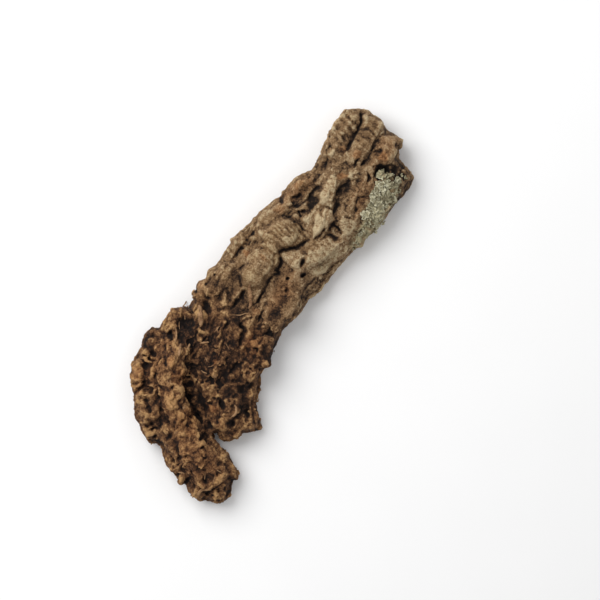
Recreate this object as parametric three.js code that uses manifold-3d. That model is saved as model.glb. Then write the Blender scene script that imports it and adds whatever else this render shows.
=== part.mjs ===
// A piece of virgin cork bark, as it is stripped from a forked limb: a thick curved plate with a
// hollow underside, a heavily ridged back, one stubby prong and one longer prong that curls aside.
// A crust of leafy lichen grows on one flank, near the wide end.
//
// Millimetres, +Z up. +X runs along the plate towards the lichen end and the prongs point to -X.
// The plate lies on the feet of its two long edges, hollow side down. The origin is on the plane
// that it rests on, under the middle of its outline.
import * as THREE from "three";
import { mergeVertices } from "three/addons/utils/BufferGeometryUtils.js";
import Module from "manifold-3d";

const wasm = await Module();
wasm.setup();

// ---- Driving dimensions ----
const WALL = 13; // thickness of the cork at the feet
const ROOF = 15; // thickness of the cork over the hollow
const FOOT_WAVE = 2; // how far the feet rise and fall along an uncut edge
const FOOT_WAVE_LENGTH = 47; // distance from one low place in an edge to the next
const THIN_ROOF = 0.45; // height of the hollow as a share of the crown, where the plate runs thin
const ARCH_POWER = 0.8; // how square the plate's shoulders are: 1 is an oval
const BELOW = 60; // depth of the block that trims the feet level
const LICHEN_GAP = 0.35; // clearance between the bark and the lichen lying on it
const LICHEN_THICKNESS = 1.7; // height of the lichen crust over the bark

// ---- Mesh fineness ----
const OUTER_STEPS = 16; // facets across the back of the plate
const INNER_STEPS = 9; // facets across its hollow
const TRUNK_SECTIONS = 38;
const ARM_SECTIONS = 22;
const RIDGE_SIDES = 8;
const RIDGE_PITCH = 6.5; // spacing of a ridge's sections along its path

// The main plate. Each station pairs the foot of the left edge with the foot of the right edge,
// and gives the height of the back between them.
const TRUNK = [
  { left: [-102, -21], right: [-105, -28], crown: 16 },
  { left: [-99, -6], right: [-95, -38], crown: 21 },
  { left: [-90, 9], right: [-84, -48], crown: 24 },
  { left: [-76, 20], right: [-73, -39], crown: 26 },
  { left: [-60, 32], right: [-60, -32], crown: 27 },
  { left: [-45, 42], right: [-45, -30], crown: 28 },
  { left: [-28, 37], right: [-28, -28], crown: 28 },
  { left: [-12, 36], right: [-12, -27], crown: 29 },
  { left: [6, 33], right: [4, -31], crown: 31 },
  { left: [22, 31], right: [20, -35], crown: 32 },
  { left: [40, 27], right: [38, -38], crown: 32 },
  { left: [58, 20], right: [56, -41], crown: 31 },
  { left: [74, 16], right: [74, -47], crown: 31 },
  { left: [90, 11], right: [90, -51], crown: 30 },
  { left: [106, 11], right: [106, -53], crown: 29 },
  { left: [120, 12], right: [119, -55.5], crown: 28 },
  { left: [130, 12], right: [127, -41], crown: 27 },
  { left: [138, 11], right: [137, -32], crown: 25 },
  { left: [143, 7], right: [143, -27], crown: 18 },
];

// The long prong, which leaves the plate near its middle and curls round past the short one.
const ARM = [
  { left: [-38, 44], right: [-42, 6], crown: 24 },
  { left: [-58, 50], right: [-58, 8], crown: 26 },
  { left: [-76, 51], right: [-74, 10], crown: 27 },
  { left: [-94, 48], right: [-84, 10], crown: 28 },
  { left: [-108, 37], right: [-89, 4], crown: 28 },
  { left: [-120, 27], right: [-94, -5], crown: 27 },
  { left: [-128, 15], right: [-100, -17], crown: 27 },
  { left: [-133, -1], right: [-105, -25], crown: 26 },
  { left: [-140, -16], right: [-108, -33], crown: 25 },
  { left: [-147, -30], right: [-112, -40], crown: 23 },
  { left: [-145, -45], right: [-117, -47], crown: 20 },
  { left: [-140, -54], right: [-123, -53], crown: 13 },
];

// The corky ridges and lumps of the back. Each follows its path, and is width across and height
// tall, measured from the path's line.
const RIDGES = {
  left_edge: {
    path: [[-26, 35, 14], [0, 30.5, 14], [24, 27, 15], [45, 21.5, 15], [66, 15, 16], [86, 9, 17], [104, 7, 15]],
    width: 6.5,
    height: 8,
  },
  shoulder: { path: [[-22, 25, 20], [-8, 26, 22], [8, 25, 22]], width: 10, height: 8 },
  knob: { path: [[-1, 10, 29], [12, 10, 31], [28, 8, 30]], width: 9.5, height: 8 },
  saddle: { path: [[27, 14, 28], [40, 8, 30], [53, -1, 29]], width: 11, height: 7.5 },
  back_rib: { path: [[26, 22, 23], [46, 18, 24], [64, 12, 23]], width: 7, height: 6.5 },
  claw: { path: [[51, -14, 27], [62, -14, 29], [74, -11, 28]], width: 7, height: 6 },
  spur: { path: [[73, -8, 28], [86, -6, 28], [100, -3, 26]], width: 7, height: 6 },
  upper_finger: { path: [[100, 4, 17], [112, 4, 19], [128, 5, 20], [144, 4, 16]], width: 9, height: 10 },
  middle_finger: { path: [[106, -9, 24], [122, -10, 25], [147.5, -8, 18]], width: 8.5, height: 8 },
  end_lump: { path: [[113, -23, 23], [126, -26, 22], [141, -23, 15]], width: 10, height: 9 },
  rubble: { path: [[76, -22, 25], [92, -24, 25], [110, -23, 24]], width: 8.5, height: 6 },
  lichen_flank: {
    path: [[57, -34, 15], [75, -38, 16], [95, -42, 16], [112, -44, 14], [121, -46, 9]],
    width: 8,
    height: 10,
  },
  right_plate: { path: [[22, -8, 27], [36, -15, 28], [52, -23, 25], [66, -27, 23]], width: 10, height: 7 },
  right_edge: { path: [[12, -28, 9], [30, -33, 10], [50, -36, 11]], width: 5, height: 8 },
  flank: { path: [[-22, -14, 23], [-2, -16, 25], [18, -21, 23]], width: 11, height: 6.5 },
  waist_right: { path: [[-57, -20, 21], [-40, -21, 22], [-24, -20, 22]], width: 9, height: 7 },
  waist_floor: { path: [[-72, 1, 23], [-56, 3, 24], [-38, 4, 24]], width: 8, height: 5.5 },
  waist_left: { path: [[-48, 22, 24], [-38, 24, 23], [-28, 25, 21]], width: 8, height: 6 },
  top_lobe: { path: [[-37, 41, 14], [-48, 42, 16], [-60, 41, 17]], width: 7, height: 9 },
  arm_outer: {
    path: [[-60, 48, 13], [-78, 46, 15], [-94, 42, 16], [-108, 31, 16], [-119, 21, 14], [-127, 13, 11]],
    width: 7.5,
    height: 10,
  },
  arm_middle: {
    path: [[-56, 29, 24], [-70, 28, 26], [-84, 24, 27], [-97, 13, 26], [-108, 1, 25]],
    width: 9,
    height: 7.5,
  },
  arm_lower: { path: [[-110, -2, 23], [-118, -16, 23], [-126, -31, 21], [-131, -48, 13]], width: 12, height: 8 },
  arm_left_edge: { path: [[-129, 3, 11], [-135, -12, 12], [-142, -28, 13], [-140, -47, 10]], width: 6, height: 9 },
  arm_right_edge: { path: [[-108, -18, 14], [-114, -32, 14], [-120, -47, 9]], width: 5.5, height: 9 },
  stub_back: { path: [[-98, -22, 15], [-86, -20, 20], [-70, -18, 21]], width: 12, height: 8 },
  stub_edge: { path: [[-84, -43, 8], [-75, -35, 12], [-61, -27, 14]], width: 5.5, height: 9 },
};

// Outlines in plan of the two lichen crusts.
const LICHENS = {
  lichen_patch: [
    [80, -35], [88, -33], [97, -35], [104, -34], [110, -30.5], [114, -31], [117, -37],
    [116, -41], [120, -44], [119, -48], [108, -48], [97, -49], [88, -47.5], [80, -45],
  ],
  lichen_fringe: [[59, -38], [68, -37], [78, -37], [79, -44.5], [72, -43.5], [64, -41.5]],
};

/** A closed solid through a row of sections, each an array of points with the same count. */
function loft(sections, outline) {
  const count = sections[0].length;
  const last = (sections.length - 1) * count;
  const positions = sections.flat().flatMap((p) => [p.x, p.y, p.z]);
  const index = [];
  for (let row = 0; row < last; row += count)
    for (let i = 0; i < count; i++) {
      const next = (i + 1) % count;
      index.push(row + i, row + next, row + count + next);
      index.push(row + i, row + count + next, row + count + i);
    }
  for (const [a, b, c] of THREE.ShapeUtils.triangulateShape(outline, []))
    index.push(a, c, b, last + a, last + b, last + c);
  return new THREE.BufferGeometry()
    .setAttribute("position", new THREE.Float32BufferAttribute(positions, 3))
    .setIndex(index);
}

/** A three.js geometry as a manifold-3d solid, with its faces turned outwards. */
function solid(geometry) {
  const bare = new THREE.BufferGeometry()
    .setAttribute("position", geometry.getAttribute("position"))
    .setIndex(geometry.getIndex());
  const merged = mergeVertices(bare, 1e-3);
  const triVerts = new Uint32Array(merged.getIndex().array);
  const vertProperties = merged.getAttribute("position").array;
  const made = () => new wasm.Manifold(new wasm.Mesh({ numProp: 3, vertProperties, triVerts }));
  if (made().volume() < 0) triVerts.reverse();
  return made();
}

/** A manifold-3d solid as a three.js geometry. */
function geometryOf(body) {
  const mesh = body.getMesh();
  return new THREE.BufferGeometry()
    .setAttribute("position", new THREE.BufferAttribute(mesh.vertProperties, 3))
    .setIndex(new THREE.BufferAttribute(mesh.triVerts, 1));
}

const joined = (bodies) => bodies.reduce((all, body) => all.add(body));

/** Half an oval in its own plane, x across and y up, from one foot over the crown to the other. */
function arch(halfWidth, top, foot, steps) {
  return Array.from({ length: steps + 1 }, (_, i) => {
    const angle = (Math.PI * i) / steps;
    const across = Math.sign(Math.cos(angle)) * Math.abs(Math.cos(angle)) ** ARCH_POWER;
    return new THREE.Vector2(halfWidth * across, foot + (top - foot) * Math.sin(angle) ** ARCH_POWER);
  });
}

/** A long mound whose two edges follow the stations. The section draws it from its half width,
 * its crown and its place along the plate. */
function mound(stations, sectionCount, section) {
  const track = (pick) => new THREE.CatmullRomCurve3(stations.map(pick));
  const lefts = track(({ left }) => new THREE.Vector3(left[0], left[1], 0));
  const rights = track(({ right }) => new THREE.Vector3(right[0], right[1], 0));
  const crowns = track(({ crown }) => new THREE.Vector3(crown, 0, 0));
  const sections = [];
  let outline = [];
  for (let i = 0; i <= sectionCount; i++) {
    const t = i / sectionCount;
    const left = lefts.getPoint(t);
    const right = rights.getPoint(t);
    const middle = left.clone().lerp(right, 0.5);
    const across = left.clone().sub(right).normalize();
    outline = section(left.distanceTo(right) / 2, crowns.getPoint(t).x, middle.x);
    sections.push(outline.map((p) => middle.clone().addScaledVector(across, p.x).setZ(p.y)));
  }
  return solid(loft(sections, outline));
}

/** The outside of the plate. Its feet wave, so that it rests on a few worn places. */
const outside = (halfWidth, crown, along) =>
  arch(halfWidth, crown, FOOT_WAVE * Math.sin((2 * Math.PI * along) / FOOT_WAVE_LENGTH), OUTER_STEPS);

/** The hollow under the plate, which the cork closes round. */
const inside = (halfWidth, crown) =>
  arch(
    Math.max(halfWidth - WALL, halfWidth * 0.3),
    Math.max(crown - ROOF, crown * THIN_ROOF),
    -FOOT_WAVE * 2,
    INNER_STEPS,
  );

/** A rounded ridge along its path, with upright oval sections that swell and pinch a little. */
function ridge({ path, width, height }) {
  const line = new THREE.CatmullRomCurve3(path.map((p) => new THREE.Vector3(...p)));
  const count = Math.max(5, Math.round(line.getLength() / RIDGE_PITCH));
  const circle = Array.from({ length: RIDGE_SIDES }, (_, i) => {
    const angle = (2 * Math.PI * i) / RIDGE_SIDES;
    return new THREE.Vector2(Math.cos(angle), Math.sin(angle));
  });
  const sections = [];
  for (let i = 0; i <= count; i++) {
    const t = i / count;
    const middle = line.getPointAt(t);
    const along = line.getTangentAt(t);
    const across = new THREE.Vector3(-along.y, along.x, 0).normalize();
    const rounding = Math.max(0.4, Math.sqrt(1 - Math.abs(2 * t - 1) ** 5));
    const swell = rounding * (1 + 0.08 * Math.sin(i * 2.4));
    sections.push(
      circle.map((p) =>
        middle
          .clone()
          .addScaledVector(across, p.x * width * swell)
          .add(new THREE.Vector3(0, 0, p.y * height * swell)),
      ),
    );
  }
  return solid(loft(sections, circle));
}

/** The largest of the separate bodies in a solid. */
const largest = (body) =>
  body.decompose().reduce((best, one) => (one.volume() > best.volume() ? one : best));

/** A crust that follows the bark inside an outline drawn in plan. */
function crust(bark, outline) {
  const shape = new THREE.Shape(outline.map(([x, y]) => new THREE.Vector2(x, y)));
  const prism = solid(new THREE.ExtrudeGeometry(shape, { depth: BELOW, bevelEnabled: false }));
  const skin = bark.translate([0, 0, LICHEN_THICKNESS]).intersect(prism);
  return largest(skin.subtract(bark.translate([0, 0, LICHEN_GAP])));
}

function makeBark() {
  const trim = solid(new THREE.BoxGeometry(400, 400, BELOW).translate(0, 0, -BELOW / 2));
  const body = joined([
    mound(TRUNK, TRUNK_SECTIONS, outside),
    mound(ARM, ARM_SECTIONS, outside),
    ...Object.values(RIDGES).map(ridge),
  ]);
  const hollow = mound(TRUNK, TRUNK_SECTIONS, inside).add(mound(ARM, ARM_SECTIONS, inside));
  return largest(body.subtract(hollow).subtract(trim));
}

const barkMaterial = new THREE.MeshStandardMaterial({ color: 0x6b5640, roughness: 0.95, metalness: 0 });
const lichenMaterial = new THREE.MeshStandardMaterial({ color: 0xa5a58c, roughness: 0.9, metalness: 0 });

const barkSolid = makeBark();
const piece = new THREE.Group();
const barkMesh = new THREE.Mesh(geometryOf(barkSolid), barkMaterial);
barkMesh.name = "bark";
piece.add(barkMesh);
for (const [name, outline] of Object.entries(LICHENS)) {
  const mesh = new THREE.Mesh(geometryOf(crust(barkSolid, outline)), lichenMaterial);
  mesh.name = name;
  piece.add(mesh);
}

// The origin goes under the middle of the outline.
const middle = new THREE.Box3().setFromObject(piece).getCenter(new THREE.Vector3());
piece.position.set(-middle.x, -middle.y, 0);

export default piece;
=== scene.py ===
"""A forked piece of virgin cork bark with leafy lichen, ready for display.

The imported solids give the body. Its relief is carved on a fine grid of distances: cracks, plates,
flakes and crumbs, first where this piece has them and then as the grain of cork has them
everywhere. Lichen leaves and dry fibres are laid on the carved surface afterwards.

Lengths are in millimetres while carving and become metres in the finished meshes. The plan of
the piece, +X towards the lichen end and +Y away from the lichen flank, is drawn from PLAN_ORIGIN.
"""

from __future__ import annotations

import itertools
import logging
import math
from dataclasses import dataclass, field
from enum import Enum
from typing import Sequence

import bpy
import numpy as np
import openvdb
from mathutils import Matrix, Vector

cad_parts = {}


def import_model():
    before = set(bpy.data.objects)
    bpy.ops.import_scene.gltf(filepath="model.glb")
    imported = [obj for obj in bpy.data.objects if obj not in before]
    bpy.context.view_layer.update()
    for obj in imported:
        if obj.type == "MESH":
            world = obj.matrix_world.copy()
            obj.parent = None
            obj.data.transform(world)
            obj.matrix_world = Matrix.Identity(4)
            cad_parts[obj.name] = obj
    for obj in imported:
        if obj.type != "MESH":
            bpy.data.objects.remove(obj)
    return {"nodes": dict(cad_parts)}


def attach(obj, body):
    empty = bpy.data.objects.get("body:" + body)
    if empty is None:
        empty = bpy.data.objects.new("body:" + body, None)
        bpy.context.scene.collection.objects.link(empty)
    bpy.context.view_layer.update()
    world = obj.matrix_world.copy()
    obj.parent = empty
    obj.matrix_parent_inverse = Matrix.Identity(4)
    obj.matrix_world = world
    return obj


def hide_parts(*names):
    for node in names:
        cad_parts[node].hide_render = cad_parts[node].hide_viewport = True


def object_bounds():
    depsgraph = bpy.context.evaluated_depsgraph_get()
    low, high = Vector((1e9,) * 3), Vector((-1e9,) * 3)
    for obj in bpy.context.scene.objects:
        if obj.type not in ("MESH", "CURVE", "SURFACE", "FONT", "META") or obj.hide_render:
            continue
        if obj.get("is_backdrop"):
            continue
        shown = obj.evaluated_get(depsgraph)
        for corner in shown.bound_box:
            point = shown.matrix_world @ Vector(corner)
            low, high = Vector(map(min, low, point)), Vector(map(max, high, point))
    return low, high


Array = np.ndarray
Point = tuple[float, float]
Colour = tuple[float, float, float]
Stops = Sequence[tuple[float, Colour]]

log = logging.getLogger("bark")

MM = 0.001
PLAN_ORIGIN = (0.3, 1.2)


# ---------------------------------------------------------------- small maths


def smooth(low: float, high: float, x: Array) -> Array:
    """A smooth step from 0 at low to 1 at high; low may be the larger."""
    t = np.clip((x - low) / (high - low), 0.0, 1.0)
    return t * t * (3.0 - 2.0 * t)


def linear(red: float, green: float, blue: float) -> Colour:
    """A colour as the eye grades it, turned into the light values that shaders use."""
    return tuple(c / 12.92 if c <= 0.04045 else ((c + 0.055) / 1.055) ** 2.4 for c in (red, green, blue))


def on_plan(x: Array, y: Array) -> tuple[Array, Array]:
    """Plan coordinates of places in the frame."""
    return x - PLAN_ORIGIN[0], y - PLAN_ORIGIN[1]


def turned(x: Array, y: Array, at: Point, degrees: float) -> tuple[Array, Array]:
    """Coordinates from a centre along a direction and across it.

    Args:
        x: X of the points.
        y: Y of the points.
        at: the centre.
        degrees: the direction, turned left from +X.

    Returns:
        The distances along the direction and to its left.
    """
    c, s = math.cos(math.radians(degrees)), math.sin(math.radians(degrees))
    dx, dy = x - at[0], y - at[1]
    return dx * c + dy * s, dy * c - dx * s


def along_path(x: Array, y: Array, path: Sequence[Point]) -> tuple[Array, Array, Array]:
    """Places points against a line of straight pieces.

    Args:
        x: X of the points.
        y: Y of the points.
        path: the corners of the line.

    Returns:
        The distance to the line, positive on its left, the length along it, and that length as
        a share of the whole.
    """
    nearest = np.full(x.shape, 1e9)
    side = np.zeros(x.shape)
    where = np.zeros(x.shape)
    done = 0.0
    for (ax, ay), (bx, by) in zip(path, path[1:]):
        ex, ey = bx - ax, by - ay
        length = math.hypot(ex, ey)
        t = np.clip(((x - ax) * ex + (y - ay) * ey) / length**2, 0.0, 1.0)
        gap = np.hypot(x - ax - t * ex, y - ay - t * ey)
        closer = gap < nearest
        nearest = np.where(closer, gap, nearest)
        side = np.where(closer, np.sign(ex * (y - ay) - ey * (x - ax)), side)
        where = np.where(closer, done + t * length, where)
        done += length
    return nearest * side, where, where / done


def inside_distance(x: Array, y: Array, outline: Sequence[Point]) -> Array:
    """Measures how far points are from a closed outline.

    Args:
        x: X of the points.
        y: Y of the points.
        outline: the corners of the outline.

    Returns:
        The distance to the outline, positive inside it.
    """
    closed = [*outline, outline[0]]
    gap = np.abs(along_path(x, y, closed)[0])
    crossings = np.zeros(x.shape, dtype=int)
    for (ax, ay), (bx, by) in zip(closed, closed[1:]):
        spans = (ay > y) != (by > y)
        crossings += spans & (x < ax + (y - ay) * (bx - ax) / ((by - ay) or 1e-9))
    return np.where(crossings % 2 == 1, gap, -gap)


def blurred(volume: Array, sigma: float) -> Array:
    """Smooths a grid of any number of axes.

    Args:
        volume: the grid.
        sigma: the width of the bell that each value spreads over, in cells.

    Returns:
        The smoothed grid.
    """
    reach = max(1, int(math.ceil(2.5 * sigma)))
    weights = np.exp(-0.5 * (np.arange(-reach, reach + 1) / sigma) ** 2)
    weights /= weights.sum()
    for axis in range(volume.ndim):
        edges = [(reach, reach) if a == axis else (0, 0) for a in range(volume.ndim)]
        padded = np.pad(volume, edges, mode="edge")
        size = volume.shape[axis]
        parts = (w * np.take(padded, range(i, i + size), axis) for i, w in enumerate(weights))
        volume = sum(parts).astype(np.float32)
    return volume


class Noise:
    """Repeatable smooth noise and random cells, from one seed."""

    SIZE = 64
    LAYERS = 4
    SPIN = 97.0

    def __init__(self, seed: int) -> None:
        """Fills the lattice that every value is read from."""
        rng = np.random.default_rng(seed)
        self._lattice = rng.random((self.LAYERS,) + (self.SIZE,) * 3, dtype=np.float32)

    def value(self, x: Array, y: Array, z: Array | float, layer: int = 0) -> Array:
        """Reads smooth noise that changes over about one unit.

        Args:
            x: X of the points.
            y: Y of the points.
            z: Z of the points.
            layer: which of the lattice's layers is read.

        Returns:
            The noise, from -1 to 1.
        """
        grid = self._lattice[layer].ravel()
        n = self.SIZE
        low, ramp = [], []
        for c in np.broadcast_arrays(x, y, z):
            base = np.floor(c)
            t = (c - base).astype(np.float32)
            low.append(base.astype(np.int64))
            ramp.append(t * t * (3 - 2 * t))
        total = 0.0
        for i in (0, 1):
            wx = ramp[0] if i else 1 - ramp[0]
            row = ((low[0] + i) % n) * n
            for j in (0, 1):
                wy = wx * (ramp[1] if j else 1 - ramp[1])
                cell = (row + (low[1] + j) % n) * n
                for k in (0, 1):
                    w = wy * (ramp[2] if k else 1 - ramp[2])
                    total = total + w * grid[cell + (low[2] + k) % n]
        return total * 2 - 1

    def fractal(
        self,
        place: Sequence[Array],
        size: float | tuple[float, float, float],
        shift: float = 0.0,
        octaves: int = 2,
    ) -> Array:
        """Reads noise with finer noise on it, each octave half as strong as the last.

        Args:
            place: X, Y and Z of the points, or X and Y alone.
            size: how wide its features are, one number or one for each axis.
            shift: moves the points along Z, so that each use has noise of its own.
            octaves: how many sizes of noise there are.

        Returns:
            The noise, from about -1 to 1.
        """
        sizes = size if isinstance(size, tuple) else (size,) * 3
        x, y, z = (c / s for c, s in zip((*place, 0.0), sizes))
        z = z + shift
        total, strength, scale = 0.0, 1.0, 1.0
        for octave in range(octaves):
            total = total + strength * self.value(x * scale, y * scale, z * scale, octave)
            strength, scale = strength * 0.5, scale * 2.03
        return total / 1.6

    def slopes(self, x: Array, y: Array, z: Array) -> Array:
        """Fills space with random cells one unit wide, each with a plane tilted its own way.

        Args:
            x: X of the points.
            y: Y of the points.
            z: Z of the points.

        Returns:
            The height of the plane of the cell that each point is in.
        """
        n = self.SIZE
        flat = self._lattice.reshape(self.LAYERS, -1)
        base = [np.floor(c).astype(np.int64) for c in (x, y, z)]
        nearest = np.full(x.shape, 9.0, dtype=np.float32)
        slope = np.zeros_like(nearest)
        for i, j, k in itertools.product((-1, 0, 1), repeat=3):
            gx, gy, gz = base[0] + i, base[1] + j, base[2] + k
            at = ((gx % n) * n + gy % n) * n + gz % n
            dx = x - gx - flat[0][at]
            dy = y - gy - flat[1][at]
            dz = z - gz - flat[2][at]
            gap = dx * dx + dy * dy + dz * dz
            closer = gap < nearest
            nearest = np.where(closer, gap, nearest)
            angle = flat[3][at] * self.SPIN
            slope = np.where(closer, dx * np.cos(angle) + dy * np.sin(angle), slope)
        return slope


# ---------------------------------------------------------------- what the relief is made of


class Tint(Enum):
    """The stains that show on the cork, each kept as a mask on its mesh; the dark one is partly painted
    shade.
    """

    # partly the cork's own dark patches and partly painted shade in cracks, holes, valleys, under the lichen
    # and along the lower edge and end
    SOOT = "soot"
    PALE = "pale"
    RUST = "rust"
    OLIVE = "olive"
    ALGAE = "algae"


@dataclass(frozen=True)
class Crack:
    """A crack that follows a line and closes towards its ends.

    With a lean of 1 its left lip is steep and the bark on its right slopes down to it; -1 is the
    reverse. The lips draw the bark down over a spread beside the slit.
    """

    path: Sequence[Point]
    width: float
    depth: float
    # painted shade in and beside the slit, from 0 to 1
    soot: float = 1.0
    lean: float = 0.6
    spread: float = 1.4

    def height(self, x: Array, y: Array) -> Array:
        """Works out the crack's height over the bark.

        Args:
            x: X of places on the plan.
            y: Y of places on the plan.

        Returns:
            The height, below zero.
        """
        gap, half, taper = self._lie(x, y)
        slit = smooth(0.9, 0.1, np.abs(gap) / half)
        side = np.where(gap > 0, -self.lean, self.lean)
        reach = half * (1.7 + side) + self.spread * (1.4 + side)
        slope = smooth(1.0, 0.0, np.abs(gap) / reach)
        return -self.depth * taper * (0.5 * slit + 0.4 * slope)

    def stain(self, x: Array, y: Array) -> Array:
        """How much painted shade it lays in and beside its slit, from 0 to 1."""
        gap, half, taper = self._lie(x, y)
        return self.soot * taper * smooth(1.5, 0.2, np.abs(gap) / half)

    def _lie(self, x: Array, y: Array) -> tuple[Array, Array, Array]:
        """Places points against the crack.

        Args:
            x: X of places on the plan.
            y: Y of places on the plan.

        Returns:
            The distance to the crack, its half width there, and how open it is.
        """
        gap, _, share = along_path(x, y, self.path)
        taper = np.sqrt(np.clip(1.0 - np.abs(2.0 * share - 1.0) ** 4, 0.05, 1.0))
        return gap, self.width * 0.5 * taper + 0.05, taper


@dataclass(frozen=True)
class Plate:
    """A flake or plate of cork with its own outline, proud of what surrounds it."""

    outline: Sequence[Point]
    rise: float
    tint: Tint
    strength: float
    lip: float

    def height(self, x: Array, y: Array) -> Array:
        """Its height over the bark."""
        return self.rise * smooth(-self.lip, self.lip, inside_distance(x, y, self.outline))

    def stain(self, x: Array, y: Array) -> Array:
        """How much of its tint it carries, from 0 to 1."""
        return self.strength * smooth(-0.6, 0.6, inside_distance(x, y, self.outline))


@dataclass(frozen=True)
class Oval:
    """An oval patch of the plan: its middle, its half sizes and how far it is turned left."""

    x: float
    y: float
    long: float
    wide: float
    turn: float

    def ring(self, x: Array, y: Array) -> Array:
        """0 in the middle and 1 at the rim."""
        u, v = turned(x, y, (self.x, self.y), self.turn)
        return np.hypot(u / self.long, v / self.wide)


@dataclass(frozen=True)
class Stain(Oval):
    """A soft patch of one tint."""

    strength: float

    def stain(self, x: Array, y: Array) -> Array:
        """How much of its tint it carries, from 0 to 1."""
        return self.strength * smooth(1.25, 0.55, self.ring(x, y))


@dataclass(frozen=True)
class Lump(Oval):
    """A rounded lump, or with a rise below zero a pit."""

    rise: float
    strength: float = 0.0
    tint: Tint = Tint.SOOT

    def height(self, x: Array, y: Array) -> Array:
        """Its height over the bark."""
        return self.rise * smooth(1.15, 0.45, self.ring(x, y))

    def stain(self, x: Array, y: Array) -> Array:
        """How much of its tint it carries, from 0 to 1."""
        return self.strength * smooth(1.25, 0.55, self.ring(x, y))


@dataclass(frozen=True)
class Wrinkles(Oval):
    """A patch of parallel wrinkles that cross its long axis."""

    pitch: float
    depth: float

    def height(self, x: Array, y: Array, sway: Array) -> Array:
        """Works out the height of the wrinkles over the bark.

        Args:
            x: X of places on the plan.
            y: Y of places on the plan.
            sway: how far the wrinkles are bent at each place, in pitches.

        Returns:
            The height, below zero.
        """
        along, _ = turned(x, y, (self.x, self.y), self.turn)
        patch = smooth(1.15, 0.7, self.ring(x, y))
        crest = np.abs(np.sin(math.pi * (along / self.pitch + sway)))
        return -1.5 * self.depth * patch * (1.0 - crest) ** 1.2


@dataclass(frozen=True)
class Calm(Oval):
    """A patch where the cork is smoother than elsewhere."""

    share: float

    def calm(self, x: Array, y: Array) -> Array:
        """How calm the cork is, from 0 to 1."""
        return self.share * smooth(1.25, 0.7, self.ring(x, y))


@dataclass(frozen=True)
class Chips:
    """Small flakes strewn over the cork, each lifted on one side and with a tone of its own."""

    seed: int
    spacing: float
    size: tuple[float, float]
    rise: tuple[float, float]
    heading: float = 20.0
    swing: float = 38.0
    narrow: tuple[float, float] = (0.45, 0.8)
    waves: Sequence[tuple[int, float]] = ((2, 0.22), (3, 0.16), (7, 0.10))

    def lay(self, x: Array, y: Array, share: Array) -> tuple[Array, Array]:
        """Lays the flakes on a regular grid of places.

        Args:
            x: X of the places, the same along each row.
            y: Y of the places, the same along each column.
            share: how much of their height they keep at each place.

        Returns:
            Their height over the bark, and their tone from -1 to 1.
        """
        rng = np.random.default_rng(self.seed)
        height, tone = np.zeros(x.shape), np.zeros(x.shape)
        pitch = x[1, 0] - x[0, 0]
        for px in np.arange(x[0, 0], x[-1, 0], self.spacing):
            for py in np.arange(y[0, 0], y[0, -1], self.spacing):
                at = (px + rng.uniform(0, self.spacing), py + rng.uniform(0, self.spacing))
                long, wide = rng.uniform(*self.size), rng.uniform(*self.narrow)
                turn = self.heading + rng.normal(0, self.swing)
                rise, own = rng.uniform(*self.rise), rng.uniform(-1, 1)
                starts = rng.uniform(0, math.tau, len(self.waves))
                i = int((at[0] - x[0, 0]) / pitch)
                j = int((at[1] - y[0, 0]) / pitch)
                r = int(1.5 * long / pitch) + 1
                patch = np.s_[max(i - r, 0) : i + r, max(j - r, 0) : j + r]
                if x[patch].size == 0:
                    continue
                u, v = turned(x[patch], y[patch], at, turn)
                angle = np.arctan2(v / wide, u)
                rim = 1
                for (number, strength), start in zip(self.waves, starts):
                    rim = rim + strength * np.sin(number * angle + start)
                inside = smooth(1.06, 0.94, np.hypot(u, v / wide) / (long * rim))
                tilt = 0.3 + 0.7 * np.clip(0.5 + 0.5 * u / long, 0, 1)
                tilted = rise * tilt * inside * share[patch]
                higher = tilted > height[patch]
                height[patch] = np.where(higher, tilted, height[patch])
                tone[patch] = np.where(higher & (inside > 0.5), own, tone[patch])
        return height, tone


@dataclass(frozen=True)
class Grain:
    """One noise of the relief: its height, how wide its features are and where it is read.

    The shift moves it to another part of the noise, so that it doesn't repeat another grain.
    """

    height: float
    size: float | tuple[float, float, float]
    shift: float = 0.0
    octaves: int = 2

    def read(self, noise: Noise, *place: Array) -> Array:
        """Its height at points given by X and Y, or by X, Y and Z."""
        return self.height * noise.fractal(place, self.size, self.shift, self.octaves)


@dataclass(frozen=True)
class Layers:
    """Torn layers: a grain cut into steps; the edge is half the share of a step that slopes."""

    height: float
    grain: Grain
    steps: float
    edge: float

    def read(self, noise: Noise, *place: Array) -> Array:
        """Works out how far the layers stand out.

        Args:
            noise: the noise that the grain is read from.
            place: X, Y and Z of the points.

        Returns:
            Their height.
        """
        stepped = self.grain.read(noise, *place) * self.steps
        base = np.floor(stepped)
        low, high = 0.5 - self.edge, 0.5 + self.edge
        return self.height * ((base + smooth(low, high, stepped - base)) / self.steps)


@dataclass(frozen=True)
class Sliver:
    """A dry fibre that lies on the bark along a path, its ends lifted off."""

    path: Sequence[Point]
    width: float
    lift: float


def each(kind: type, *rows: Sequence) -> tuple:
    """One feature of a kind from each row of its fields."""
    return tuple(kind(*row) for row in rows)


# ---------------------------------------------------------------- where they are on this piece


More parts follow.
